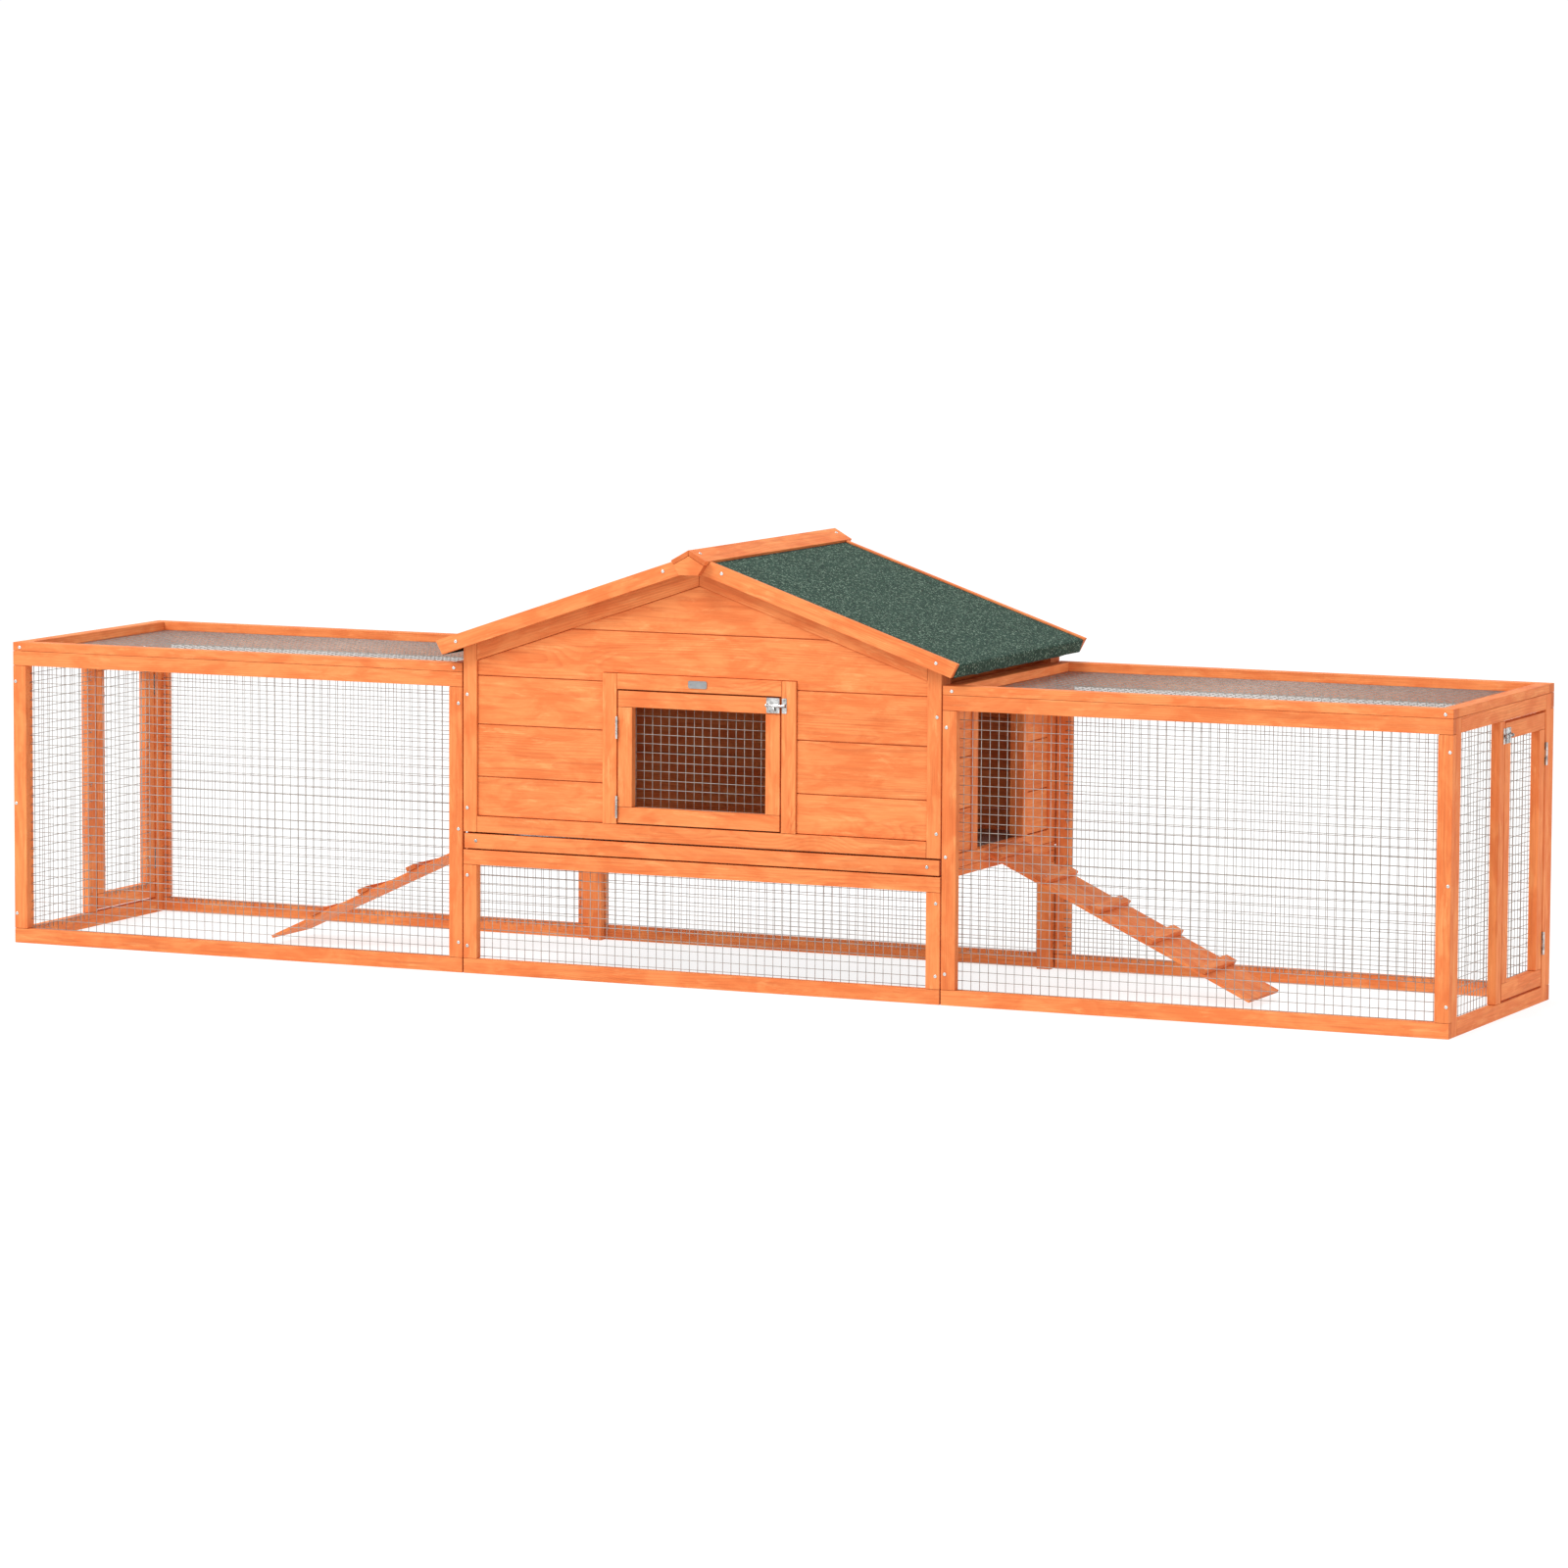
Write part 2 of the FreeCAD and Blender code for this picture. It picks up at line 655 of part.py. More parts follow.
def house_door_mesh():
    x = (-HOUSE_DOOR_HALF, HOUSE_DOOR_HALF)
    return [front_sheet(x, HOUSE_DOOR_Z, HOUSE_DOOR_STILE)]


def end_door_frame():
    x = (HALF - BATTEN_T, HALF)
    low = END_DOOR_Z[0] + END_DOOR_STOCK
    high = END_DOOR_Z[1] - END_DOOR_STOCK
    y0, y1 = END_DOOR_Y
    return [
        box(x, (y0, y1), (END_DOOR_Z[0], low)),
        box(x, (y0, y1), (high, END_DOOR_Z[1])),
        box(x, (y0, y0 + END_DOOR_STOCK), (low, high)),
        box(x, (y1 - END_DOOR_STOCK, y1), (low, high)),
    ]


def end_door_mesh():
    x = HALF - BATTEN_T
    edge = END_DOOR_STOCK - MESH_LAP
    y = (END_DOOR_Y[0] + edge, END_DOOR_Y[1] - edge)
    z = (END_DOOR_Z[0] + edge, END_DOOR_Z[1] - edge)
    return [box((x - SHEET_T, x), y, z)]


# ---- ramps (right-hand one) ----
def on_ramp(shape):
    """Move a shape made with the hinge axis at the origin and the ramp along +X."""
    placed = shape.copy()
    placed.rotate(ORIGIN, AXIS_Y, math.degrees(math.atan(RAMP_SLOPE)))
    placed.translate(FreeCAD.Vector(RAMP_AXIS[0], 0, RAMP_AXIS[1]))
    return placed


def ramp():
    top = RAMP_RISE + RAMP_T
    cleat_y = (-CLEAT_HALF, CLEAT_HALF)
    cleat_z = (top, top + CLEAT_T)
    pieces = [box(RAMP_SPAN, (-RAMP_HALF, RAMP_HALF), (RAMP_RISE, top))]
    pieces += [box((end - CLEAT_W, end), cleat_y, cleat_z) for end in CLEAT_ENDS]
    return [on_ramp(p) for p in pieces]


def ramp_hinges():
    """(fixed leaves, moving leaves, pins) of the right-hand ramp's two hinges."""
    half = RAMP_HINGE_LENGTH / 2
    third = RAMP_HINGE_LENGTH / 6
    reach = RAMP_KNUCKLE_R + RAMP_NOTCH
    ax, az = RAMP_AXIS
    fixed, moving, pins = [], [], []
    for cy in (-RAMP_HINGE_Y, RAMP_HINGE_Y):
        y0, y1 = cy - half, cy + half
        middle = (cy - third, cy + third)
        leaf = box((HOUSE_HALF, HOUSE_HALF + LEAF_T), (y0, y1), (az - RAMP_LEAF, az))
        notch_y = (middle[0] - END_SLACK, middle[1] + END_SLACK)
        leaf = leaf.cut(box((HOUSE_HALF, ax), notch_y, (az - reach, az)))
        for span in ((y0, notch_y[0]), (notch_y[1], y1)):
            leaf = leaf.fuse(rod(RAMP_KNUCKLE_R, (ax, span[0], az), AXIS_Y, span[1] - span[0]))
        fixed.append(leaf.cut(rod(RAMP_PIN_R, (ax, y0, az), AXIS_Y, RAMP_HINGE_LENGTH)))
        flap = box((0, RAMP_FLAP), (y0, y1), (RAMP_RISE - LEAF_T, RAMP_RISE))
        for span in ((y0, middle[0]), (middle[1], y1)):
            flap = flap.cut(box((0, reach), span, (0, RAMP_RISE)))
        flap = flap.fuse(rod(RAMP_KNUCKLE_R, (0, middle[0], 0), AXIS_Y, 2 * third))
        bore = rod(RAMP_PIN_R + RUNNING_CLEARANCE, (0, y0, 0), AXIS_Y, RAMP_HINGE_LENGTH)
        moving.append(on_ramp(flap.cut(bore)))
        pins.append(rod(RAMP_PIN_R, (ax, y0, az), AXIS_Y, RAMP_HINGE_LENGTH))
    return fixed, moving, pins


# ---- all nodes ----
def nodes():
    """{node name: its solids}"""
    fixed_leaf, moving_leaf, pin = butt_hinge(DOOR_GAP)
    end_fixed_leaf, end_moving_leaf, end_pin = butt_hinge(END_HINGE_GAP)
    ramp_fixed, ramp_moving, ramp_pins = ramp_hinges()
    found = {
        "house_front_frame": house_front_frame(),
        "house_front_planks": house_front_planks(),
        "house_back_frame": house_back_frame(),
        "house_back_planks": in_y(gable_planks([])),
        "lower_front_frame": lower_front_frame(),
        "lower_back_frame": in_y(lower_front_frame()),
        "lower_run_mesh": lower_meshes(),
        "floor_bearers": bearers(),
        "rear_legs": rear_legs(),
        "ridge_cap": ridge_cap(),
        "bargeboards": bargeboards(),
        "apex_plates": apex_plates(),
        "ridge_batten": ridge_batten(),
        "badge": badge(),
        "fixing_screws": fixing_screws(),
        "tray_frame": tray_frame(),
        "tray_steel": tray_steel(),
        "house_door_frame": house_door_frame(),
        "house_door_mesh": house_door_mesh(),
        "house_door_hinge_leaves": house_hinges(moving_leaf),
        "house_door_latch_plate": house_latch(latch_plate()),
        "house_door_bolt": house_latch(latch_bolt()),
        "door_hinge_fixed_leaves": house_hinges(fixed_leaf)
        + both_ends(end_hinges(end_fixed_leaf)),
        "hinge_pins": house_hinges(pin) + both_ends(end_hinges(end_pin) + ramp_pins),
        "latch_keepers": house_latch(latch_keeper()) + both_ends(end_latch(latch_keeper())),
        "ramp_hinge_fixed_leaves": both_ends(ramp_fixed),
    }
    handed = {
        "run_front_frame": run_front_frame(),
        "run_back_frame": in_y(run_front_frame()),
        "run_end_frame": run_end_frame(),
        "run_top_frame": run_top_frame(),
        "run_mesh": run_meshes(),
        "house_side_frame": house_side_frame(),
        "house_side_planks": house_side_planks(),
        "roof_board": roof_board(),
        "roof_felt": roof_felt(),
        "door_frame": end_door_frame(),
        "door_mesh": end_door_mesh(),
        "door_hinge_leaves": end_hinges(end_moving_leaf),
        "door_latch_plate": end_latch(latch_plate()),
        "door_bolt": end_latch(latch_bolt()),
        "ramp": ramp(),
        "ramp_hinge_leaves": ramp_moving,
    }
    for name, solids in handed.items():
        found["right_" + name] = solids
        found["left_" + name] = in_x(solids)
    return found


os.makedirs("parts", exist_ok=True)
for node, solids in nodes().items():
    shape = Part.makeCompound(solids)
    if not shape.isValid() or min(s.Volume for s in solids) <= 0:
        raise ValueError("bad solid in " + node)
    shape.exportStep("parts/" + node + ".step")
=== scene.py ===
import json
import math
import random

import bmesh
import bpy
from mathutils import Matrix, Vector, noise


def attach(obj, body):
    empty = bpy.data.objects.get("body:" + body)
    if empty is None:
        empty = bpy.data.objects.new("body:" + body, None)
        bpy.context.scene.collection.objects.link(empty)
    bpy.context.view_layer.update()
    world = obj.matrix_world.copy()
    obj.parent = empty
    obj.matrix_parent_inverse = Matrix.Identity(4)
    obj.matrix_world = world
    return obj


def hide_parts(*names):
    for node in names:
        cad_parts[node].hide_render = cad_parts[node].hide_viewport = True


# Rabbit hutch: a house over a low run, between two long mesh runs.
# Metres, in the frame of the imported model: +X to the right, +Y to the back, +Z up.

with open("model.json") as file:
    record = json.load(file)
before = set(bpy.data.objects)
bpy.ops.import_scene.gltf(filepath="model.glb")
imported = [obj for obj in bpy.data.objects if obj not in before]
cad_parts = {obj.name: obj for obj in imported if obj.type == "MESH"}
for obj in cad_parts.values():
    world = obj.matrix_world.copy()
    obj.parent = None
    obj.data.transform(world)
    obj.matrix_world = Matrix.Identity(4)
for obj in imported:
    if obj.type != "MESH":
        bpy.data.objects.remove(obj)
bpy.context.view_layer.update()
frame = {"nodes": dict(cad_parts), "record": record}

MM = 0.001
X, Y, Z = Vector((1, 0, 0)), Vector((0, 1, 0)), Vector((0, 0, 1))

BODY_OF = {
    node: body
    for body, nodes in frame["record"]["behaviour"]["bodies"].items()
    for node in nodes
}
SLOT_OF = {part["node"]: part["material_slot"] for part in frame["record"]["subparts"]}


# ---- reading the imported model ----
def solids_of(node):
    """A node's closed solids, each a list of polygons of points.

    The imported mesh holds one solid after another, and a solid ends where its faces close.
    """
    mesh = frame["nodes"][node].data
    solids, faces, open_edges = [], [], set()
    for polygon in mesh.polygons:
        points = [mesh.vertices[i].co.copy().freeze() for i in polygon.vertices]
        keys = [tuple(round(c, 6) for c in p) for p in points]
        for a, b in zip(keys, keys[1:] + keys[:1]):
            if (b, a) in open_edges:
                open_edges.remove((b, a))
            else:
                open_edges.add((a, b))
        faces.append(points)
        if not open_edges:
            solids.append(faces)
            faces = []
    return solids


def span_of(solid):
    """(lowest corner, highest corner) of a solid."""
    points = [p for face in solid for p in face]
    low = Vector([min(p[i] for p in points) for i in range(3)])
    high = Vector([max(p[i] for p in points) for i in range(3)])
    return low, high


def centre_of(solid):
    low, high = span_of(solid)
    return (low + high) / 2


def welded(solid):
    """A bmesh of a solid, with its shared corners welded and its flat faces merged."""
    bm = bmesh.new()
    for points in solid:
        bm.faces.new([bm.verts.new(p) for p in points])
    bmesh.ops.remove_doubles(bm, verts=bm.verts, dist=0.01 * MM)
    bmesh.ops.dissolve_limit(
        bm, angle_limit=math.radians(0.5), verts=bm.verts, edges=bm.edges
    )
    return bm


# ---- making pieces ----
def add_piece(name, bm, material, body, replaces=()):
    """A finished bmesh as an object that rides on a body."""
    mesh = bpy.data.meshes.new(name)
    bm.normal_update()
    bm.to_mesh(mesh)
    bm.free()
    mesh.materials.append(material)
    piece = bpy.data.objects.new(name, mesh)
    bpy.context.scene.collection.objects.link(piece)
    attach(piece, body)
    if replaces:
        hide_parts(*replaces)
    return piece


TUBE_SIDES = 6


def tube(bm, points, radius, across):
    """A round wire through points that lie in one plane; across is that plane's normal."""
    rings = []
    last = len(points) - 1
    for i, point in enumerate(points):
        before = (point - points[max(i - 1, 0)]).normalized()
        after = (points[min(i + 1, last)] - point).normalized()
        if i == 0:
            before = after
        if i == last:
            after = before
        along = (before + after).normalized()
        stretch = 1 / max(along.dot(after), 0.4)
        side = across.cross(along)
        ring = []
        for k in range(TUBE_SIDES):
            turn = 2 * math.pi * (k + 0.5) / TUBE_SIDES
            offset = across * math.cos(turn) + side * (math.sin(turn) * stretch)
            ring.append(bm.verts.new(point + radius * offset))
        rings.append(ring)
    join_rings(bm, rings)
    for ring, flip in ((rings[0], True), (rings[-1], False)):
        bm.faces.new(ring[::-1] if flip else ring)


def join_rings(bm, rings):
    """Smooth faces from each ring of vertices to the next one."""
    for low, high in zip(rings, rings[1:]):
        count = len(low)
        for k in range(count):
            face = bm.faces.new(
                [low[k], low[(k + 1) % count], high[(k + 1) % count], high[k]]
            )
            face.smooth = True


def revolve(bm, profile, foot, axis, sides=24):
    """A turned shape: profile is (radius, height) from its foot to its top, both closed."""
    across = axis.orthogonal().normalized()
    side = axis.cross(across)
    rings = []
    for radius, height in profile:
        turns = [2 * math.pi * k / sides for k in range(sides)]
        rings.append(
            [
                bm.verts.new(
                    foot
                    + axis * height
                    + across * (radius * math.cos(t))
                    + side * (radius * math.sin(t))
                )
                for t in turns
            ]
        )
    join_rings(bm, rings)
    bm.faces.new(rings[0][::-1])
    bm.faces.new(rings[-1])
    return rings[-1]


# ---- materials ----
class Shader:
    """Short-hand for one material made of nodes."""

    def __init__(self, name):
        self.material = bpy.data.materials.new(name)
        self.material.use_nodes = True
        self.tree = self.material.node_tree
        self.surface = self.tree.nodes["Principled BSDF"]

    def add(self, kind, inputs, output=0, **settings):
        """One node: inputs maps a socket's name or number to a value or another output."""
        node = self.tree.nodes.new(kind)
        for key, value in settings.items():
            setattr(node, key, value)
        for key, value in inputs.items():
            self.put(node.inputs[key], value)
        return node.outputs[output]

    def put(self, socket, value):
        if isinstance(value, bpy.types.NodeSocket):
            self.tree.links.new(value, socket)
        else:
            socket.default_value = value

    def set(self, **inputs):
        """Sockets of the surface, with _ for a space."""
        for key, value in inputs.items():
            self.put(self.surface.inputs[key.replace("_", " ")], value)

    def attribute(self, name, output="Vector"):
        return self.add("ShaderNodeAttribute", {}, output, attribute_name=name)

    def place(self):
        return self.add("ShaderNodeTexCoord", {}, "Object")

    def parts(self, vector):
        node = self.tree.nodes.new("ShaderNodeSeparateXYZ")
        self.put(node.inputs[0], vector)
        return node.outputs[0], node.outputs[1], node.outputs[2]

    def joined(self, x, y, z):
        return self.add("ShaderNodeCombineXYZ", {0: x, 1: y, 2: z})

    def math(self, operation, a, b=0.0, c=0.0):
        return self.add("ShaderNodeMath", {0: a, 1: b, 2: c}, operation=operation)

    def scaled(self, vector, factors):
        return self.add(
            "ShaderNodeVectorMath", {0: vector, 1: factors}, operation="MULTIPLY"
        )

    def noise(self, vector, detail=2.0, roughness=0.5, distortion=0.0):
        inputs = {
            "Vector": vector,
            "Scale": 1.0,
            "Detail": detail,
            "Roughness": roughness,
            "Distortion": distortion,
        }
        return self.add("ShaderNodeTexNoise", inputs)

    def cells(self, vector, output="Distance"):
        inputs = {"Vector": vector, "Scale": 1.0, "Randomness": 1.0}
        return self.add("ShaderNodeTexVoronoi", inputs, output)

    def map(self, value, low, high, to_low=0.0, to_high=1.0):
        inputs = {0: value, 1: low, 2: high, 3: to_low, 4: to_high}
        return self.add(
            "ShaderNodeMapRange", inputs, interpolation_type="SMOOTHSTEP"
        )

    def mix(self, factor, a, b):
        inputs = {0: factor, 6: self.opaque(a), 7: self.opaque(b)}
        return self.add("ShaderNodeMix", inputs, 2, data_type="RGBA")

    @staticmethod
    def opaque(colour):
        return (*colour, 1.0) if isinstance(colour, tuple) else colour

    def bump(self, height, strength, distance):
        inputs = {"Height": height, "Strength": strength, "Distance": distance}
        return self.add("ShaderNodeBump", inputs)


def wood_material(name, pale, deep, ring_tint, flame):
    """Stained fir.  The "grain" attribute runs along, across and through each board from
    the tree's pith, and a second face attribute holds (rounded edge, end grain, tone of the
    board).  The rounded edges are darkened as painted shade, for the shadow in the joints
    between boards."""
    s = Shader(name)
    grain = s.attribute("grain")
    edge, end, tone = s.parts(s.attribute("edge_shade_end_tone"))
    along, across, through = s.parts(grain)

    # Growth rings: distance from the pith, bent by slow drift and by knots.
    drift = s.noise(s.scaled(grain, (1.6, 9.0, 9.0)), 2.0)
    knot_place = s.scaled(s.joined(along, across, 0.0), (4.2, 11.0, 1.0))
    knot = s.cells(knot_place)
    knot_pull = s.map(knot, 0.0, 0.42, 0.011, 0.0)
    radius = s.add(
        "ShaderNodeVectorMath", {0: s.joined(0.0, across, through)}, 1, operation="LENGTH"
    )
    radius = s.math("MULTIPLY_ADD", drift, 0.04, radius)
    radius = s.math("ADD", radius, knot_pull)
    ring = s.math("FRACT", s.math("DIVIDE", radius, 0.0034))
    late_wood = s.math("MULTIPLY", s.map(ring, 0.3, 0.9), s.map(ring, 1.0, 0.93))
    figure = s.map(s.noise(s.scaled(grain, (2.6, 14.0, 14.0)), 1.0), 0.4, 0.66)

    # Fibres, streaks and blotches of stain, and pale patches of flame figure.
    fibre = s.noise(s.scaled(grain, (16.0, 520.0, 520.0)), 3.0, 0.6)
    streak = s.noise(s.scaled(grain, (5.0, 150.0, 150.0)), 3.0, 0.6)
    pores = s.noise(s.scaled(grain, (45.0, 1500.0, 1500.0)), 1.0)
    blotch = s.noise(s.scaled(grain, (10.0, 26.0, 26.0)), 4.0, 0.6, 0.6)
    patch = s.noise(s.scaled(grain, (11.0, 60.0, 60.0)), 4.0, 0.75, 0.3)

    colour = s.mix(s.map(blotch, 0.36, 0.64), deep, pale)
    pale_patch = s.map(patch, 0.53, 0.7, 0.0, 0.55)
    colour = s.mix(pale_patch, colour, flame)
    ring_share = s.math("MULTIPLY", late_wood, s.map(figure, 0.0, 1.0, 0.05, 0.26))
    colour = s.mix(ring_share, colour, ring_tint)
    fibre_share = s.map(fibre, 0.3, 0.72, 0.0, 0.22)
    colour = s.mix(fibre_share, colour, ring_tint)
    streak_share = s.map(streak, 0.48, 0.68, 0.0, 0.24)
    colour = s.mix(streak_share, colour, ring_tint)
    pore_share = s.map(pores, 0.62, 0.8, 0.0, 0.2)
    colour = s.mix(pore_share, colour, ring_tint)
    colour = s.mix(s.math("MULTIPLY", end, 0.5), colour, ring_tint)
    # Painted shade: the rounded edges are darkened toward ring_tint, to stand in for the
    # shadow in the joints between boards.
    colour = s.mix(s.math("MULTIPLY", edge, 0.3), colour, ring_tint)
    colour = s.add(
        "ShaderNodeHueSaturation",
        {"Color": colour, "Hue": 0.5, "Saturation": 1.0, "Value": tone, "Fac": 1.0},
    )
    height = s.math("MULTIPLY_ADD", late_wood, 0.5, s.math("ADD", fibre, pores))
    s.set(
        Base_Color=colour,
        Roughness=s.map(fibre, 0.2, 0.8, 0.58, 0.72),
        Specular_IOR_Level=0.16,
        Normal=s.bump(height, 0.16, 0.6 * MM),
    )
    return s.material


def metal_material(name, colour, roughness, metallic=1.0, mottle=0.12):
    """Plated or galvanised steel, with cloudy patches in its colour and its gloss."""
    s = Shader(name)
    place = s.place()
    cloud = s.noise(s.scaled(place, (90.0, 90.0, 90.0)), 4.0, 0.6)
    fine = s.noise(s.scaled(place, (2600.0, 2600.0, 2600.0)), 2.0)
    dull = tuple(c * (1 - mottle * 2) for c in colour)
    s.set(
        Base_Color=s.mix(s.map(cloud, 0.35, 0.65), dull, colour),
        Metallic=metallic,
        Roughness=s.map(cloud, 0.3, 0.7, roughness + mottle, roughness - mottle / 2),
        Normal=s.bump(fine, 0.05, 0.1 * MM),
    )
    return s.material


def spangle_material(name):
    """Galvanised sheet, with its crystal spangle."""
    s = Shader(name)
    place = s.scaled(s.place(), (95.0, 95.0, 95.0))
    crystal = s.cells(place, "Color")
    shade = s.parts(crystal)[0]
    s.set(
        Base_Color=s.mix(shade, (0.36, 0.37, 0.38), (0.52, 0.53, 0.54)),
        Metallic=0.9,
        Roughness=s.map(shade, 0.0, 1.0, 0.34, 0.5),
    )
    return s.material


def felt_material(name):
    """Bitumen felt under green mineral granules."""
    s = Shader(name)
    place = s.place()
    granule = s.scaled(place, (400.0, 400.0, 400.0))
    shade = s.parts(s.cells(granule, "Color"))
    clump = s.noise(s.scaled(place, (230.0, 230.0, 230.0)), 3.0, 0.7)
    cloud = s.noise(s.scaled(place, (9.0, 9.0, 9.0)), 3.0)
    colour = s.mix(s.map(shade[0], 0.0, 1.0), (0.008, 0.024, 0.016), (0.05, 0.1, 0.066))
    colour = s.mix(s.map(clump, 0.4, 0.6, 0.0, 0.8), colour, (0.016, 0.045, 0.034))
    pale = s.math("GREATER_THAN", shade[1], 0.88)
    colour = s.mix(s.math("MULTIPLY", pale, 0.75), colour, (0.25, 0.34, 0.26))
    dark = s.math("GREATER_THAN", shade[2], 0.88)
    colour = s.mix(s.math("MULTIPLY", dark, 0.8), colour, (0.006, 0.01, 0.008))
    colour = s.mix(s.map(cloud, 0.3, 0.7, 0.0, 0.12), colour, (0.04, 0.09, 0.068))
    s.set(
        Base_Color=colour,
        Roughness=0.93,
        Specular_IOR_Level=0.25,
        Normal=s.bump(s.cells(granule), 0.7, 1.2 * MM),
    )
    return s.material


STAINED_FIR = wood_material(
    "stained_fir",
    pale=(0.87, 0.28, 0.088),
    deep=(0.77, 0.197, 0.055),
    ring_tint=(0.43, 0.085, 0.022),
    flame=(0.93, 0.4, 0.145),
)
RAW_BOARD = wood_material(
    "roof_board",
    pale=(0.6, 0.24, 0.09),
    deep=(0.48, 0.17, 0.06),
    ring_tint=(0.3, 0.09, 0.03),
    flame=(0.7, 0.34, 0.15),
)
WIRE = metal_material("galvanised_wire", (0.4, 0.37, 0.335), 0.45, 0.1)
ZINC = metal_material("zinc_steel", (0.68, 0.68, 0.67), 0.2, mottle=0.25)
SCREW_ZINC = metal_material("screw_zinc", (0.82, 0.82, 0.8), 0.24)
SHEET_STEEL = spangle_material("galvanised_sheet")
PLATE = metal_material("plain_plate", (0.36, 0.37, 0.375), 0.38, 0.9, 0.06)
FELT = felt_material("green_felt")

MATERIAL_OF = {
    "stained_fir": STAINED_FIR,
    "roof_board": RAW_BOARD,
    "galvanised_wire": WIRE,
    "zinc_steel": ZINC,
    "galvanised_sheet": SHEET_STEEL,
    "plain_plate": PLATE,
    "green_felt": FELT,
}


# ---- boards ----
ARRIS = 0.8 * MM            # rounding of a board's edges
PLANK_ARRIS = 1.2 * MM
PLANK_GAP = 0.6 * MM        # each plank stands this much further short of its line
BOARD_SHORT = 0.3 * MM      # every board is cut this much under its size
TONGUE_T = 3 * MM           # tongues close the gaps between planks
TONGUE_REACH = 4 * MM
TOUCHING = 0.1 * MM         # planks closer than this stand one on the other
SLANTED = 0.1               # least x and z in the normal of a slanted edge


def board_axes(bm):
    """(along, across, through) of a board: its longest edge, then its widest face."""
    longest = max(bm.edges, key=lambda e: e.calc_length())
    along = (longest.verts[1].co - longest.verts[0].co).normalized()
    widest = max(bm.faces, key=lambda f: f.calc_area())
    through = widest.normal.normalized()
    return along, through.cross(along), through


def narrow(bm, solid):
    """Draws in the upper and lower edges of a plank, for the gaps between planks."""
    low, high = span_of(solid)
    for v in bm.verts:
        if v.co.z < low.z + PLANK_GAP:
            v.co.z += PLANK_GAP
        elif v.co.z > high.z - PLANK_GAP:
            v.co.z -= PLANK_GAP


def shrink(bm):
    """Moves each face of a board inwards, which leaves a fine joint line between boards."""
    bm.normal_update()
    shifts = []
    for v in bm.verts:
        normals = []
        for f in v.link_faces:
            if all(f.normal.dot(n) < 0.99 for n in normals):
                normals.append(f.normal.copy())
        shifts.append(sum(normals, Vector((0, 0, 0))))
    for v, shift in zip(bm.verts, shifts):
        v.co -= shift * BOARD_SHORT


def rounded_board(solid, rng, is_plank):
    """One board with rounded edges, carrying its grain, end grain and tone, and painted shade
    on its rounded edges.
    """
    bm = welded(solid)
    if is_plank:
        narrow(bm, solid)
    shrink(bm)
    arris = PLANK_ARRIS if is_plank else ARRIS
    bm.normal_update()
    along, across, through = board_axes(bm)
    middle = centre_of(solid)
    cut = bmesh.ops.bevel(
        bm,
        geom=bm.edges[:],
        offset=arris * rng.uniform(0.8, 1.15),
        segments=2,
        profile=0.5,
        affect="EDGES",
        clamp_overlap=True,
    )
    rounded = set(cut["faces"])
    grain = bm.verts.layers.float_vector.new("grain")
    edge_shade_end_tone = bm.faces.layers.float_vector.new("edge_shade_end_tone")
    start = rng.uniform(0, 40)
    pith = rng.uniform(-0.045, 0.045), rng.choice((-1, 1)) * rng.uniform(0.02, 0.07)
    tone = rng.uniform(0.955, 1.03)
    for v in bm.verts:
        place = v.co - middle
        v[grain] = Vector(
            (
                place.dot(along) + start,
                place.dot(across) - pith[0],
                place.dot(through) - pith[1],
            )
        )
    for f in bm.faces:
        f.smooth = f in rounded
        end = 1.0 if abs(f.normal.dot(along)) > 0.8 and f not in rounded else 0.0
        # The first value marks the rounded edges, which the wood shader darkens as painted
        # shade.
        f[edge_shade_end_tone] = Vector((1.0 if f in rounded else 0.0, end, tone))
    return bm


def merge(target, source):
    """Adds a bmesh to another one that has the same layers, and frees it."""
    mesh = bpy.data.meshes.new("passing")
    source.to_mesh(mesh)
    source.free()
    target.from_mesh(mesh)
    bpy.data.meshes.remove(mesh)


BOX_SIDES = (
    (0, 2, 3, 1), (4, 5, 7, 6), (0, 1, 5, 4), (2, 6, 7, 3), (0, 4, 6, 2), (1, 3, 7, 5)
)


def box_faces(low, high):
    """The six faces of a square-cut piece, as a solid."""
    x, y, z = zip(low, high)
    corners = [Vector((x[i], y[j], z[k])) for k in (0, 1) for j in (0, 1) for i in (0, 1)]
    return [[corners[i] for i in side] for side in BOX_SIDES]


def tongues(planks):
    """Strips in the joints between planks that stand one on the other."""
    spans = [span_of(plank) for plank in planks]
    found = []
    for low_a, high_a in spans:
        for low_b, high_b in spans:
            if abs(high_a.z - low_b.z) > TOUCHING:
                continue
            low = Vector([max(a, b) for a, b in zip(low_a, low_b)])
            high = Vector([min(a, b) for a, b in zip(high_a, high_b)])
            thin = 0 if high.x - low.x < high.y - low.y else 1
            if min(high.x - low.x, high.y - low.y) <= 0:
                continue
            middle = (low[thin] + high[thin]) / 2
            low[thin], high[thin] = middle - TONGUE_T / 2, middle + TONGUE_T / 2
            low.z, high.z = high_a.z - TONGUE_REACH, high_a.z + TONGUE_REACH
            found.append(box_faces(low, high))
    return found


def slanted_tongues(plank):
    """Strips along the slanted edges of a plank, where it meets the gable trim."""
    bm = welded(plank)
    bm.normal_update()
    found = []
    for face in bm.faces:
        out = face.normal.copy()
        if min(abs(out.x), abs(out.z)) < SLANTED:
            continue
        points = [v.co for v in face.verts]
        ends = [min(points, key=lambda p: p.x), max(points, key=lambda p: p.x)]
        middle = sum(p.y for p in points) / len(points)
        corners = []
        for end in ends if out.z > 0 else ends[::-1]:
            for y in (middle - TONGUE_T / 2, middle + TONGUE_T / 2):
                for step in (-TONGUE_REACH, TONGUE_REACH):
                    corners.append(Vector((end.x, y, end.z)) + out * step)
        found.append([[corners[i] for i in side] for side in BOX_SIDES])
    bm.free()
    return found


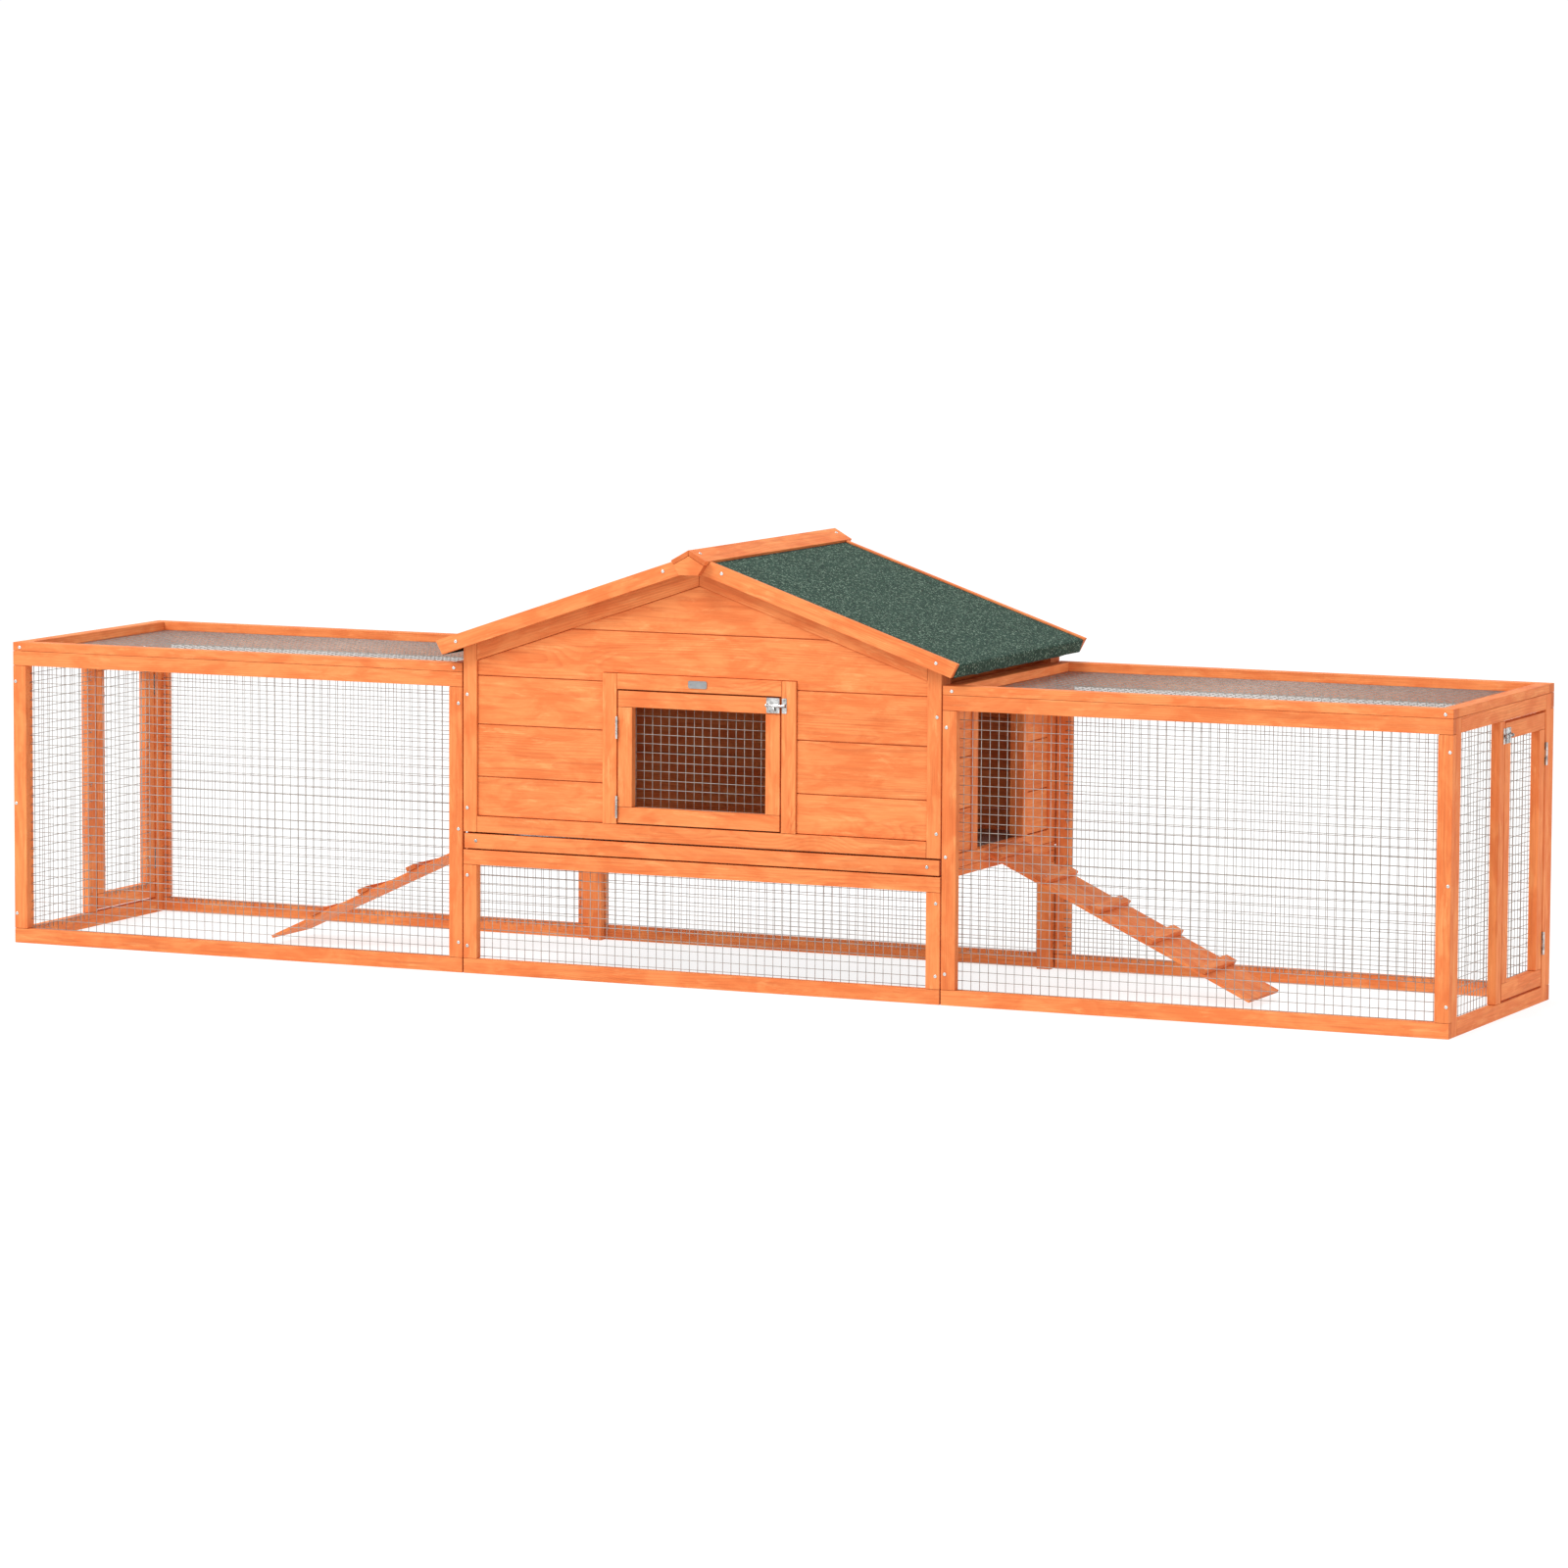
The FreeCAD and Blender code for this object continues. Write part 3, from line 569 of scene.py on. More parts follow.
def add_boards(node):
    """All the boards of a wooden node as one piece."""
    rng = random.Random(node)
    whole = bmesh.new()
    whole.verts.layers.float_vector.new("grain")
    whole.faces.layers.float_vector.new("edge_shade_end_tone")
    is_plank = node.endswith("planks")
    for solid in solids_of(node):
        merge(whole, rounded_board(solid, rng, is_plank))
    if is_plank:
        planks = solids_of(node)
        slanted = [strip for plank in planks for strip in slanted_tongues(plank)]
        for solid in tongues(planks) + slanted:
            merge(whole, rounded_board(solid, rng, False))
    slot = SLOT_OF[node]
    add_piece(node + "_boards", whole, MATERIAL_OF[slot], BODY_OF[node], [node])


for wooden in [n for n in SLOT_OF if SLOT_OF[n] in ("stained_fir", "roof_board")]:
    add_boards(wooden)


# ---- wire mesh and its staples ----
WIRE_R = 0.65 * MM
WIRE_PITCH = 18 * MM
STAPLE_R = 0.4 * MM
STAPLE_CROWN = 9 * MM
STAPLE_PITCH = 110 * MM
STAPLE_INSET = 5 * MM       # from the mesh's cut edge
STAPLE_BITE = 1.5 * MM      # how far its legs go into the wood
WIRE_STEP = 1.9             # one layer's height over the other, in wire radii
MESH_MIDDLE = Vector((0, 0, 0.3))


def sheet_axes(solid):
    """(thin, first, second) axis numbers of a mesh sheet."""
    low, high = span_of(solid)
    size = high - low
    order = sorted(range(3), key=lambda i: size[i])
    return order[0], order[2], order[1]


def unit(axis):
    return (X, Y, Z)[axis].copy()


def frame_face(solid, thin):
    """(coordinate of the frame's face that a sheet lies on, direction away from it)."""
    low, high = span_of(solid)
    away = -1 if (low + high)[thin] / 2 > MESH_MIDDLE[thin] else 1
    return (high if away < 0 else low)[thin], away


def wire_places(low, high):
    """Evenly pitched places between two edges."""
    count = int((high - low) / WIRE_PITCH)
    start = (low + high - (count - 1) * WIRE_PITCH) / 2
    return [start + k * WIRE_PITCH for k in range(count)]


def add_wires(bm, solid):
    """Welded wires: a layer along each side of the sheet, one lying on the other."""
    low, high = span_of(solid)
    thin, first, second = sheet_axes(solid)
    face, away = frame_face(solid, thin)
    for layer, (along, across) in enumerate(((first, second), (second, first))):
        depth = face + away * WIRE_R * (1 + WIRE_STEP * layer)
        for place in wire_places(low[across], high[across]):
            ends = []
            for reach in (low[along], high[along]):
                end = Vector((0, 0, 0))
                end[thin], end[across], end[along] = depth, place, reach
                ends.append(end)
            tube(bm, ends, WIRE_R, unit(thin))


def add_staples(bm, solid, skip=()):
    """Staples over the mesh's edge wires; skip holds axis numbers of edges left bare."""
    low, high = span_of(solid)
    thin, first, second = sheet_axes(solid)
    face, away = frame_face(solid, thin)
    top = face + away * (WIRE_R * 4 + STAPLE_R)
    root = face - away * STAPLE_BITE
    for along, across in ((first, second), (second, first)):
        if along in skip:
            continue
        count = max(2, round((high[along] - low[along]) / STAPLE_PITCH))
        for edge in (low[across] + STAPLE_INSET, high[across] - STAPLE_INSET):
            for k in range(count):
                place = low[along] + (high[along] - low[along]) * (k + 0.5) / count
                points = []
                for step, depth in ((-1, root), (-1, top), (1, top), (1, root)):
                    point = Vector((0, 0, 0))
                    point[thin], point[across] = depth, edge
                    point[along] = place + step * STAPLE_CROWN / 2
                    points.append(point)
                tube(bm, points, STAPLE_R, unit(across))


def add_mesh_panels(node):
    wires, staples = bmesh.new(), bmesh.new()
    for solid in solids_of(node):
        add_wires(wires, solid)
        back_of_low_run = node == "lower_run_mesh" and centre_of(solid).y > 0
        add_staples(staples, solid, (2,) if back_of_low_run else ())
    body = BODY_OF[node]
    add_piece(node + "_wires", wires, WIRE, body, [node])
    add_piece(node + "_staples", staples, ZINC, body)


for panel in [n for n in SLOT_OF if SLOT_OF[n] == "galvanised_wire"]:
    add_mesh_panels(panel)


# ---- roof felt ----
FELT_THICK = 1.9 * MM
FELT_FOLD_R = 4 * MM
FELT_ROW = 14 * MM
FELT_STEPS = 30
FELT_FOLD_STEPS = 5
FELT_HEM_STEPS = 6
FELT_SETTLE = 0.5 * MM      # how unevenly it lies
FELT_WAVES = 6              # waves a metre, down the slope and along it
HEM_WAVES = 9               # waves a metre along the hem
HEM_FRAYS = 22              # waves a metre along its cut edge
HEM_FLARE = (0.3, 2.0)      # how far the hem stands off, and how much that varies, in mm
HEM_RAGGED = 2.4            # how much its cut edge varies, in mm


def add_felt(node):
    """The felt of one slope: slightly wavy, turned down over the eave in a round fold."""
    solid = solids_of(node)[0]
    low, high = span_of(solid)
    points = [p for face in solid for p in face]
    ridge = max(points, key=lambda p: p.z)
    eave = max(points, key=lambda p: abs(p.x))
    side = 1 if eave.x > 0 else -1
    down = Vector((eave.x - ridge.x, 0, eave.z - ridge.z))
    length = down.length
    down.normalize()
    up = Vector((-down.z * side, 0, down.x * side))
    hem = min(points, key=lambda p: p.z)
    drop = math.hypot(eave.x - hem.x, eave.z - hem.z)
    flat = length - FELT_FOLD_R
    outline = [(ridge + down * (flat * k / FELT_STEPS), up) for k in range(FELT_STEPS)]
    bend = ridge + down * flat - up * FELT_FOLD_R
    for k in range(FELT_FOLD_STEPS):
        turn = math.pi / 2 * (k + 1) / FELT_FOLD_STEPS
        out = up * math.cos(turn) + down * math.sin(turn)
        outline.append((bend + out * FELT_FOLD_R, out))
    for k in range(1, FELT_HEM_STEPS + 1):
        fall = (drop - FELT_FOLD_R) * k / FELT_HEM_STEPS
        outline.append((bend + down * FELT_FOLD_R - up * fall, down))
    hem_start = len(outline) - FELT_HEM_STEPS
    bm = bmesh.new()
    rows = []
    count = round((high.y - low.y) / FELT_ROW)
    for row in range(count + 1):
        y = low.y + (high.y - low.y) * row / count
        line = []
        for k, (point, out) in enumerate(outline):
            place = Vector((point.x, y, 0))
            wave = 0.5 + 0.5 * noise.noise(place * FELT_WAVES + Vector((side, 0, 0)))
            settle = FELT_SETTLE * wave
            loose = max(0, k - hem_start) / FELT_HEM_STEPS
            sway = noise.noise(Vector((side * 3, y * HEM_WAVES, 1.0)))
            flare = loose * (HEM_FLARE[0] + HEM_FLARE[1] * sway) * MM
            fray = noise.noise(Vector((side * 5, y * HEM_FRAYS, 4.0)))
            ragged = loose * HEM_RAGGED * MM * fray
            spot = Vector((point.x, y, point.z)) - out * settle + down * flare - up * ragged
            line.append(bm.verts.new(spot))
        rows.append(line)
    for a, b in zip(rows, rows[1:]):
        for k in range(len(outline) - 1):
            quad = [a[k], a[k + 1], b[k + 1], b[k]]
            face = bm.faces.new(quad if side > 0 else quad[::-1])
            face.smooth = True
    piece = add_piece(node + "_sheet", bm, FELT, BODY_OF[node], [node])
    thicken = piece.modifiers.new("thickness", "SOLIDIFY")
    thicken.thickness = FELT_THICK
    thicken.offset = -1


for felt_node in [n for n in SLOT_OF if SLOT_OF[n] == "green_felt"]:
    add_felt(felt_node)


# ---- screws ----
PAN = ((3.5, 0.0), (3.45, 0.35), (3.2, 0.75), (2.8, 1.05), (2.4, 1.2))
SUNK = ((3.5, 0.0), (3.45, 0.18), (2.4, 0.3))
CROSS = (0.45, 1.6, 1.0)    # half width, reach and depth of the driver's recess
CROSS_TAPER = 0.75          # the recess's size at its floor
PAN_R = 3.5


def screw_head(bm, foot, axis, radius=PAN_R, head=PAN):
    """A head with a cross recess; its profile is (radius, height) in millimetres."""
    size = MM * radius / PAN_R
    profile = [(r * size, h * size) for r, h in head]
    rim = revolve(bm, profile, foot, axis)
    bm.faces.ensure_lookup_table()
    bmesh.ops.delete(bm, geom=[bm.faces[-1]], context="FACES_ONLY")
    across = axis.orthogonal().normalized()
    side = axis.cross(across)
    half, reach, depth = (c * size for c in CROSS)
    height = profile[-1][1]
    arms = []
    for a, b in ((across, side), (side, -across), (-across, -side), (-side, across)):
        arms += [a * reach - b * half, a * reach + b * half, a * half + b * half]
    mouth = [bm.verts.new(foot + axis * height + p) for p in arms]
    low = foot + axis * (height - depth)
    floor = [bm.verts.new(low + p * CROSS_TAPER) for p in arms]
    corners = len(arms)
    edges = [bm.edges.new((mouth[k - 1], mouth[k])) for k in range(corners)]
    edges += [bm.edges.get((rim[k - 1], rim[k])) for k in range(len(rim))]
    bmesh.ops.triangle_fill(bm, use_beauty=True, edges=edges, normal=axis)
    for k in range(corners):
        bm.faces.new([mouth[k - 1], mouth[k], floor[k], floor[k - 1]])
    bm.faces.new(floor)


def foot_and_axis(solid):
    """Where a CAD screw head stands, and which way it points."""
    bm = welded(solid)
    bm.normal_update()
    base = max(bm.faces, key=lambda f: f.calc_area())
    foot, axis = base.calc_center_median().copy(), -base.normal.copy()
    bm.free()
    return foot, axis


def metal_piece(name, bm, body, replaces=(), material=ZINC):
    bmesh.ops.recalc_face_normals(bm, faces=bm.faces)
    return add_piece(name, bm, material, body, replaces)


def add_frame_screws():
    bm = bmesh.new()
    for solid in solids_of("fixing_screws"):
        screw_head(bm, *foot_and_axis(solid))
    metal_piece("frame_screws", bm, "root", ["fixing_screws"], SCREW_ZINC)


add_frame_screws()


# ---- pressed plates, loops and knuckles ----
class Place:
    """Local axes of a fitting: u along it, o out of the face it stands on, v the third."""

    def __init__(self, origin, u, o, v):
        self.origin, self.u, self.o, self.v = origin, u, o, v

    def at(self, u, o, v):
        return self.origin + (self.u * u + self.o * o + self.v * v) * MM


def layers(bm, rings):
    """Closed outlines joined one to the next, with both ends closed."""
    made = [[bm.verts.new(p) for p in ring] for ring in rings]
    for low, high in zip(made, made[1:]):
        for k in range(len(low)):
            bm.faces.new([low[k - 1], low[k], high[k], high[k - 1]])
    bm.faces.new(made[0][::-1])
    bm.faces.new(made[-1])


CORNER_STEPS = 5


def round_outline(u, v, radius, inset=0.0):
    """(u, v) points of a rectangle with rounded corners."""
    points = []
    centres = (
        (u[1] - radius, v[1] - radius),
        (u[0] + radius, v[1] - radius),
        (u[0] + radius, v[0] + radius),
        (u[1] - radius, v[0] + radius),
    )
    for quarter, (cu, cv) in enumerate(centres):
        for step in range(CORNER_STEPS + 1):
            turn = math.pi / 2 * (quarter + step / CORNER_STEPS)
            reach = radius - inset
            points.append((cu + reach * math.cos(turn), cv + reach * math.sin(turn)))
    return points


PLATE_CORNER_R = 2.0
PLATE_SOFT = 0.25


def pressed_plate(bm, place, u, v, o):
    """A flat plate with rounded corners and a softened edge, from o[0] out to o[1]."""
    rings = []
    for height, inset in ((o[0], 0.0), (o[1] - PLATE_SOFT, 0.0), (o[1], PLATE_SOFT)):
        outline = round_outline(u, v, PLATE_CORNER_R, inset)
        rings.append([place.at(pu, height, pv) for pu, pv in outline])
    layers(bm, rings)


LOOP_STEPS = 12
LOOP_FLANGE = 2.4


def loop(bm, place, u, foot, centre, bore, sheet):
    """A strap bent over a bolt, with a flange on each side; u is its (low, high)."""
    turns = [math.pi * step / LOOP_STEPS for step in range(LOOP_STEPS + 1)]
    outer, inner = bore + sheet, bore
    reach, top = outer + LOOP_FLANGE, foot + sheet
    outline = [(foot, -reach), (top, -reach), (top, -outer)]
    outline += [(centre + outer * math.sin(t), -outer * math.cos(t)) for t in turns]
    outline += [(top, outer), (top, reach), (foot, reach), (foot, inner)]
    outline += [(centre + inner * math.sin(t), inner * math.cos(t)) for t in turns]
    outline.append((foot, -inner))
    layers(bm, [[place.at(end, o, v) for o, v in outline] for end in u])


def turned(bm, place, start, axis, profile, sides=20):
    """A turned part; profile is (radius, distance along) in millimetres."""
    revolve(bm, [(r * MM, d * MM) for r, d in profile], place.at(*start), axis, sides)


# ---- barrel bolts ----
PLATE_T = 1.2
PLATE_V = (-15.0, 15.0)
PLATE_U = (-30.0, -2.0)
PLATE_LOOPS = ((-29.5, -26.9), (-9.0, -2.5))
PLATE_SCREWS = (-24.0, -8.0)
KEEPER_U = (3.0, 13.0)
KEEPER_LOOPS = ((4.5, 11.5),)
KEEPER_SCREWS = (8.0,)
LATCH_SCREW_V = 11.5
LATCH_SCREW_R = 2.0
BOLT_PROUD = 4.6
BOLT_R = 2.5
LOOP_BORE = 2.7
LOOP_SHEET = 0.9
BOLT_U = (-31.5, 11.5)
KNOB_U = -12.6
KNOB = ((1.6, 0.0), (1.6, 6.6), (2.2, 7.4), (2.5, 8.8), (2.2, 10.2), (1.1, 11.0))
KEEPER_LENGTH = 20 * MM     # the keepers' other solids, their straps, are shorter


def latch_place(corner_solid, gap_side):
    """The axes of a latch, from its CAD plate or keeper; gap_side is that part's offset."""
    low, high = span_of(corner_solid)
    middle = (low + high) / 2
    if abs(middle.x) < 1.0:
        edge = high.x if gap_side < 0 else low.x
        return Place(Vector((edge - gap_side * MM, high.y, middle.z)), X, -Y, Z)
    out = X if middle.x > 0 else -X
    edge = low.y if gap_side < 0 else high.y
    face = low.x if middle.x > 0 else high.x
    return Place(Vector((face, edge + gap_side * MM, middle.z)), -Y, out, Z)


def latch_body(bm, place, u, loops, screws):
    pressed_plate(bm, place, u, PLATE_V, (0.0, PLATE_T))
    for span in loops:
        loop(bm, place, span, PLATE_T, BOLT_PROUD, LOOP_BORE, LOOP_SHEET)
    for across in screws:
        for v in (-LATCH_SCREW_V, LATCH_SCREW_V):
            screw_head(bm, place.at(across, PLATE_T, v), place.o, LATCH_SCREW_R)


def add_latch(prefix):
    """The plate and the bolt of one door."""
    node = prefix + "door_latch_plate"
    place = latch_place(solids_of(node)[0], PLATE_U[1])
    bm = bmesh.new()
    latch_body(bm, place, PLATE_U, PLATE_LOOPS, PLATE_SCREWS)
    metal_piece(node + "_pressed", bm, BODY_OF[node], [node])
    node = prefix + "door_bolt"
    length = BOLT_U[1] - BOLT_U[0]
    nose = ((1.2, 0.0), (2.1, 0.4), (BOLT_R, 1.2), (BOLT_R, length - 1.8))
    nose += ((2.1, length - 0.6), (1.2, length))
    bm = bmesh.new()
    turned(bm, place, (BOLT_U[0], BOLT_PROUD, 0.0), place.u, nose, 24)
    turned(bm, place, (KNOB_U, BOLT_PROUD, 0.0), -place.v, KNOB)
    metal_piece(node + "_turned", bm, BODY_OF[node], [node])


def add_keepers():
    bm = bmesh.new()
    for solid in solids_of("latch_keepers"):
        low, high = span_of(solid)
        if (high - low).length > KEEPER_LENGTH:
            place = latch_place(solid, KEEPER_U[0])
            latch_body(bm, place, KEEPER_U, KEEPER_LOOPS, KEEPER_SCREWS)
    metal_piece("latch_keepers_pressed", bm, "root", ["latch_keepers"])


for door in ("house_", "right_", "left_"):
    add_latch(door)
add_keepers()


# ---- hinges ----
LEAF_T = 0.9
KNUCKLE_R = 2.6
RAMP_KNUCKLE_R = 2.4
KNUCKLE_SOFT = 0.35
KNUCKLE_PLAY = 0.05         # each knuckle ends this much short of its neighbour
LEAF_OVERLAP = 0.4          # the leaf's edge goes this far under its knuckles
LEAF_STEP = 0.3
PIN_HEAD = ((1.9, 0.0), (1.8, 0.25), (1.2, 0.45))
HINGE_SCREW_R = 2.0
HINGE_SCREW_V = 0.34        # of the hinge's length, from its middle


def hinge_half(bm, place, radius, length, middle, leaf):
    """One leaf with its knuckles.  The hinge axis runs along place.v through the origin.

    middle is True for the leaf that has the middle knuckle; leaf is ((u span), depth,
    screws at), where the leaf reaches inwards, along -o.
    """
    half, third = length / 2, length / 6
    span_u, depth, screw_depth = leaf
    spans = ((-third, third),) if middle else ((-half, -third), (third, half))
    for low, high in spans:
        tall = high - low - KNUCKLE_PLAY
        profile = [
            (radius - KNUCKLE_SOFT, KNUCKLE_PLAY),
            (radius, KNUCKLE_PLAY + KNUCKLE_SOFT),
            (radius, tall - KNUCKLE_SOFT),
            (radius - KNUCKLE_SOFT, tall),
        ]
        turned(bm, place, (0.0, 0.0, low), place.v, profile, 24)
        span_v = (low + KNUCKLE_PLAY, high - KNUCKLE_PLAY)
        leaf_box(bm, place, span_u, (-radius - LEAF_OVERLAP, 0.0), span_v)
    leaf_box(bm, place, span_u, (-depth, -radius - LEAF_STEP), (-half, half))
    facing = 1 if abs(span_u[1]) < abs(span_u[0]) else -1
    face_u = span_u[1] if facing > 0 else span_u[0]
    for v in (-length * HINGE_SCREW_V, 0.0, length * HINGE_SCREW_V):
        foot = place.at(face_u, -screw_depth, v)
        screw_head(bm, foot, place.u * facing, HINGE_SCREW_R, SUNK)


def leaf_box(bm, place, u, o, v):
    outline = ((u[0], o[0]), (u[1], o[0]), (u[1], o[1]), (u[0], o[1]))
    layers(bm, [[place.at(a, b, end) for a, b in outline] for end in v])


def pin_heads(bm, place, length):
    for way in (-1, 1):
        turned(bm, place, (0.0, 0.0, way * length / 2), place.v * way, PIN_HEAD, 16)


def hinge_place(pin):
    """(axes, pin length, moving leaf's node) of the hinge round a CAD pin."""
    low, high = span_of(pin)
    middle = (low + high) / 2
    side = "right_" if middle.x > 0 else "left_"
    if high.y - low.y > 10 * MM:
        out = X if middle.x > 0 else -X
        return Place(middle, out, Z, Y), (high.y - low.y) / MM, side + "ramp_hinge_leaves"
    length = (high.z - low.z) / MM
    if abs(middle.x) < 1.0:
        return Place(middle, X, -Y, Z), length, "house_door_hinge_leaves"
    out = X if middle.x > 0 else -X
    return Place(middle, -Y, out, Z), length, side + "door_hinge_leaves"


def ramp_leaf_place(place, node):
    """Axes that follow the ramp's underside: -o runs down the slope, u into the board."""
    board = max(solids_of(node.replace("_hinge_leaves", "")), key=solid_length)
    low, high = span_of(board)
    away = place.u
    drop, reach = high.z - low.z, high.x - low.x
    down = (away * reach - Z * drop).normalized()
    return Place(place.origin, (away * drop + Z * reach).normalized(), -down, Y)


def solid_length(solid):
    low, high = span_of(solid)
    return (high - low).length


GAP_OF = {"house_door_hinge_leaves": 2.6}
END_GAP = 5.0
DOOR_LEAF = (20.0, 12.5)    # how deep a leaf reaches, and where its screws are
RAMP_WALL_LEAF = ((-2.5, -1.6), 10.0, 6.5)
RAMP_BOARD_LEAF = ((2.0, 2.9), 18.0, 11.0)


def add_hinges():
    moving, fixed, ramp_fixed, heads = {}, bmesh.new(), bmesh.new(), bmesh.new()
    for pin in solids_of("hinge_pins"):
        place, length, node = hinge_place(pin)
        mine = moving.setdefault(node, bmesh.new())
        pin_heads(heads, place, length)
        if "ramp" in node:
            hinge_half(ramp_fixed, place, RAMP_KNUCKLE_R, length, False, RAMP_WALL_LEAF)
            along = ramp_leaf_place(place, node)
            hinge_half(mine, along, RAMP_KNUCKLE_R, length, True, RAMP_BOARD_LEAF)
            continue
        gap = GAP_OF.get(node, END_GAP)
        still = ((-gap / 2, LEAF_T - gap / 2), *DOOR_LEAF)
        swinging = ((gap / 2 - LEAF_T, gap / 2), *DOOR_LEAF)
        hinge_half(fixed, place, KNUCKLE_R, length, False, still)
        hinge_half(mine, place, KNUCKLE_R, length, True, swinging)
    metal_piece("door_hinges_fixed", fixed, "root", ["door_hinge_fixed_leaves"])
    metal_piece("ramp_hinges_fixed", ramp_fixed, "root", ["ramp_hinge_fixed_leaves"])
    metal_piece("hinge_pin_heads", heads, "root", ["hinge_pins"])
    for node, bm in moving.items():
        metal_piece(node + "_moving", bm, BODY_OF[node], [node])


add_hinges()


# ---- tray sheet, nails and badge ----
NAIL = ((1.9, 0.0), (1.8, 0.3), (1.2, 0.6), (0.4, 0.7))
NAIL_PITCH = 120 * MM
NAIL_INSET = 8 * MM         # from the sheet's edge
SHEET_GRID = (60, 34)
SHEET_SWELL = 1.1 * MM      # how unevenly it lies
SHEET_FLAT_EDGE = 4         # grid steps over which its edge goes flat
CLEAT_NAIL_Y = 60 * MM


def nail(bm, foot, axis):
    revolve(bm, [(r * MM, h * MM) for r, h in NAIL], foot, axis, 16)


def add_tray():
    """The steel floor: a slightly uneven sheet nailed to its rails, and the tray's screws."""
    sheet, *heads = solids_of("tray_steel")
    low, high = span_of(sheet)
    bm = bmesh.new()
    columns, rows = SHEET_GRID
    grid = []
    for i in range(columns + 1):
        line = []
        for j in range(rows + 1):
            x = low.x + (high.x - low.x) * i / columns
            y = low.y + (high.y - low.y) * j / rows
            edge = min(i, j, columns - i, rows - j, SHEET_FLAT_EDGE) / SHEET_FLAT_EDGE
            swell = 0.5 + 0.5 * noise.noise(Vector((x * 4, y * 4, 2.0)))
            line.append(bm.verts.new((x, y, high.z + SHEET_SWELL * swell * edge)))
        grid.append(line)
    for a, b in zip(grid, grid[1:]):
        for j in range(rows):
            bm.faces.new([a[j], b[j], b[j + 1], a[j + 1]]).smooth = True
    sheet_piece = add_piece(
        "tray_sheet", bm, SHEET_STEEL, "tray", ["tray_steel"]
    )
    thicken = sheet_piece.modifiers.new("thickness", "SOLIDIFY")
    thicken.thickness = high.z - low.z
    thicken.offset = -1
    bm = bmesh.new()
    for solid in heads:
        screw_head(bm, *foot_and_axis(solid))
    for across in (low.x + NAIL_INSET, high.x - NAIL_INSET):
        count = round((high.y - low.y) / NAIL_PITCH)
        for k in range(count):
            y = low.y + (high.y - low.y) * (k + 0.5) / count
            nail(bm, Vector((across, y, high.z)), Z)
    metal_piece("tray_fixings", bm, "tray")


def add_ramp_nails(node):
    """Two nails through each cleat."""
    board, *cleats = sorted(solids_of(node), key=solid_length, reverse=True)
    low, high = span_of(board)
    side = 1 if high.x > 0 else -1
    normal = Vector((side * (high.z - low.z), 0, high.x - low.x)).normalized()
    bm = bmesh.new()
    for cleat in cleats:
        middle = centre_of(cleat)
        points = [p for face in cleat for p in face]
        rise = max((p - middle).dot(normal) for p in points)
        for y in (-CLEAT_NAIL_Y, CLEAT_NAIL_Y):
            nail(bm, middle + normal * rise + Y * y, normal)
    metal_piece(node + "_nails", bm, BODY_OF[node])


BADGE_CORNER_R = 3.5
BADGE_RIM = 1.2
BADGE_SUNK = 0.5            # the face is this much lower than the rim
BADGE_SOFT = 0.3
RIVET = ((1.6, 0.0), (1.4, 0.5), (0.8, 0.8))
RIVET_INSET = 4.5


def add_badge():
    """A blank plate with a raised rim, held by two rivets."""
    low, high = span_of(solids_of("badge")[0])
    middle = (low + high) / 2
    place = Place(Vector((middle.x, high.y, middle.z)), X, -Y, Z)
    half_u, half_v = (high.x - low.x) / 2 / MM, (high.z - low.z) / 2 / MM
    thick = (high.y - low.y) / MM
    bm = bmesh.new()
    steps = (
        (0.0, 0.0),
        (thick - BADGE_SOFT, 0.0),
        (thick, BADGE_SOFT),
        (thick, BADGE_RIM),
        (thick - BADGE_SUNK, BADGE_RIM + BADGE_SUNK),
    )
    rings = []
    for height, inset in steps:
        span_u, span_v = (-half_u, half_u), (-half_v, half_v)
        outline = round_outline(span_u, span_v, BADGE_CORNER_R, inset)
        rings.append([place.at(u, height, v) for u, v in outline])
    layers(bm, rings)
    for u in (RIVET_INSET - half_u, half_u - RIVET_INSET):
        turned(bm, place, (u, thick - BADGE_SUNK, 0.0), place.o, RIVET, 16)
    metal_piece("badge_plate", bm, "root", ["badge"], PLATE)


add_tray()
add_ramp_nails("right_ramp")
add_ramp_nails("left_ramp")
add_badge()


# ---- stage, light and camera ----
FLOOR_R = 90
FLOOR_DROP = 0.2 * MM       # under the object's feet
WORLD_LIGHT = 1.04


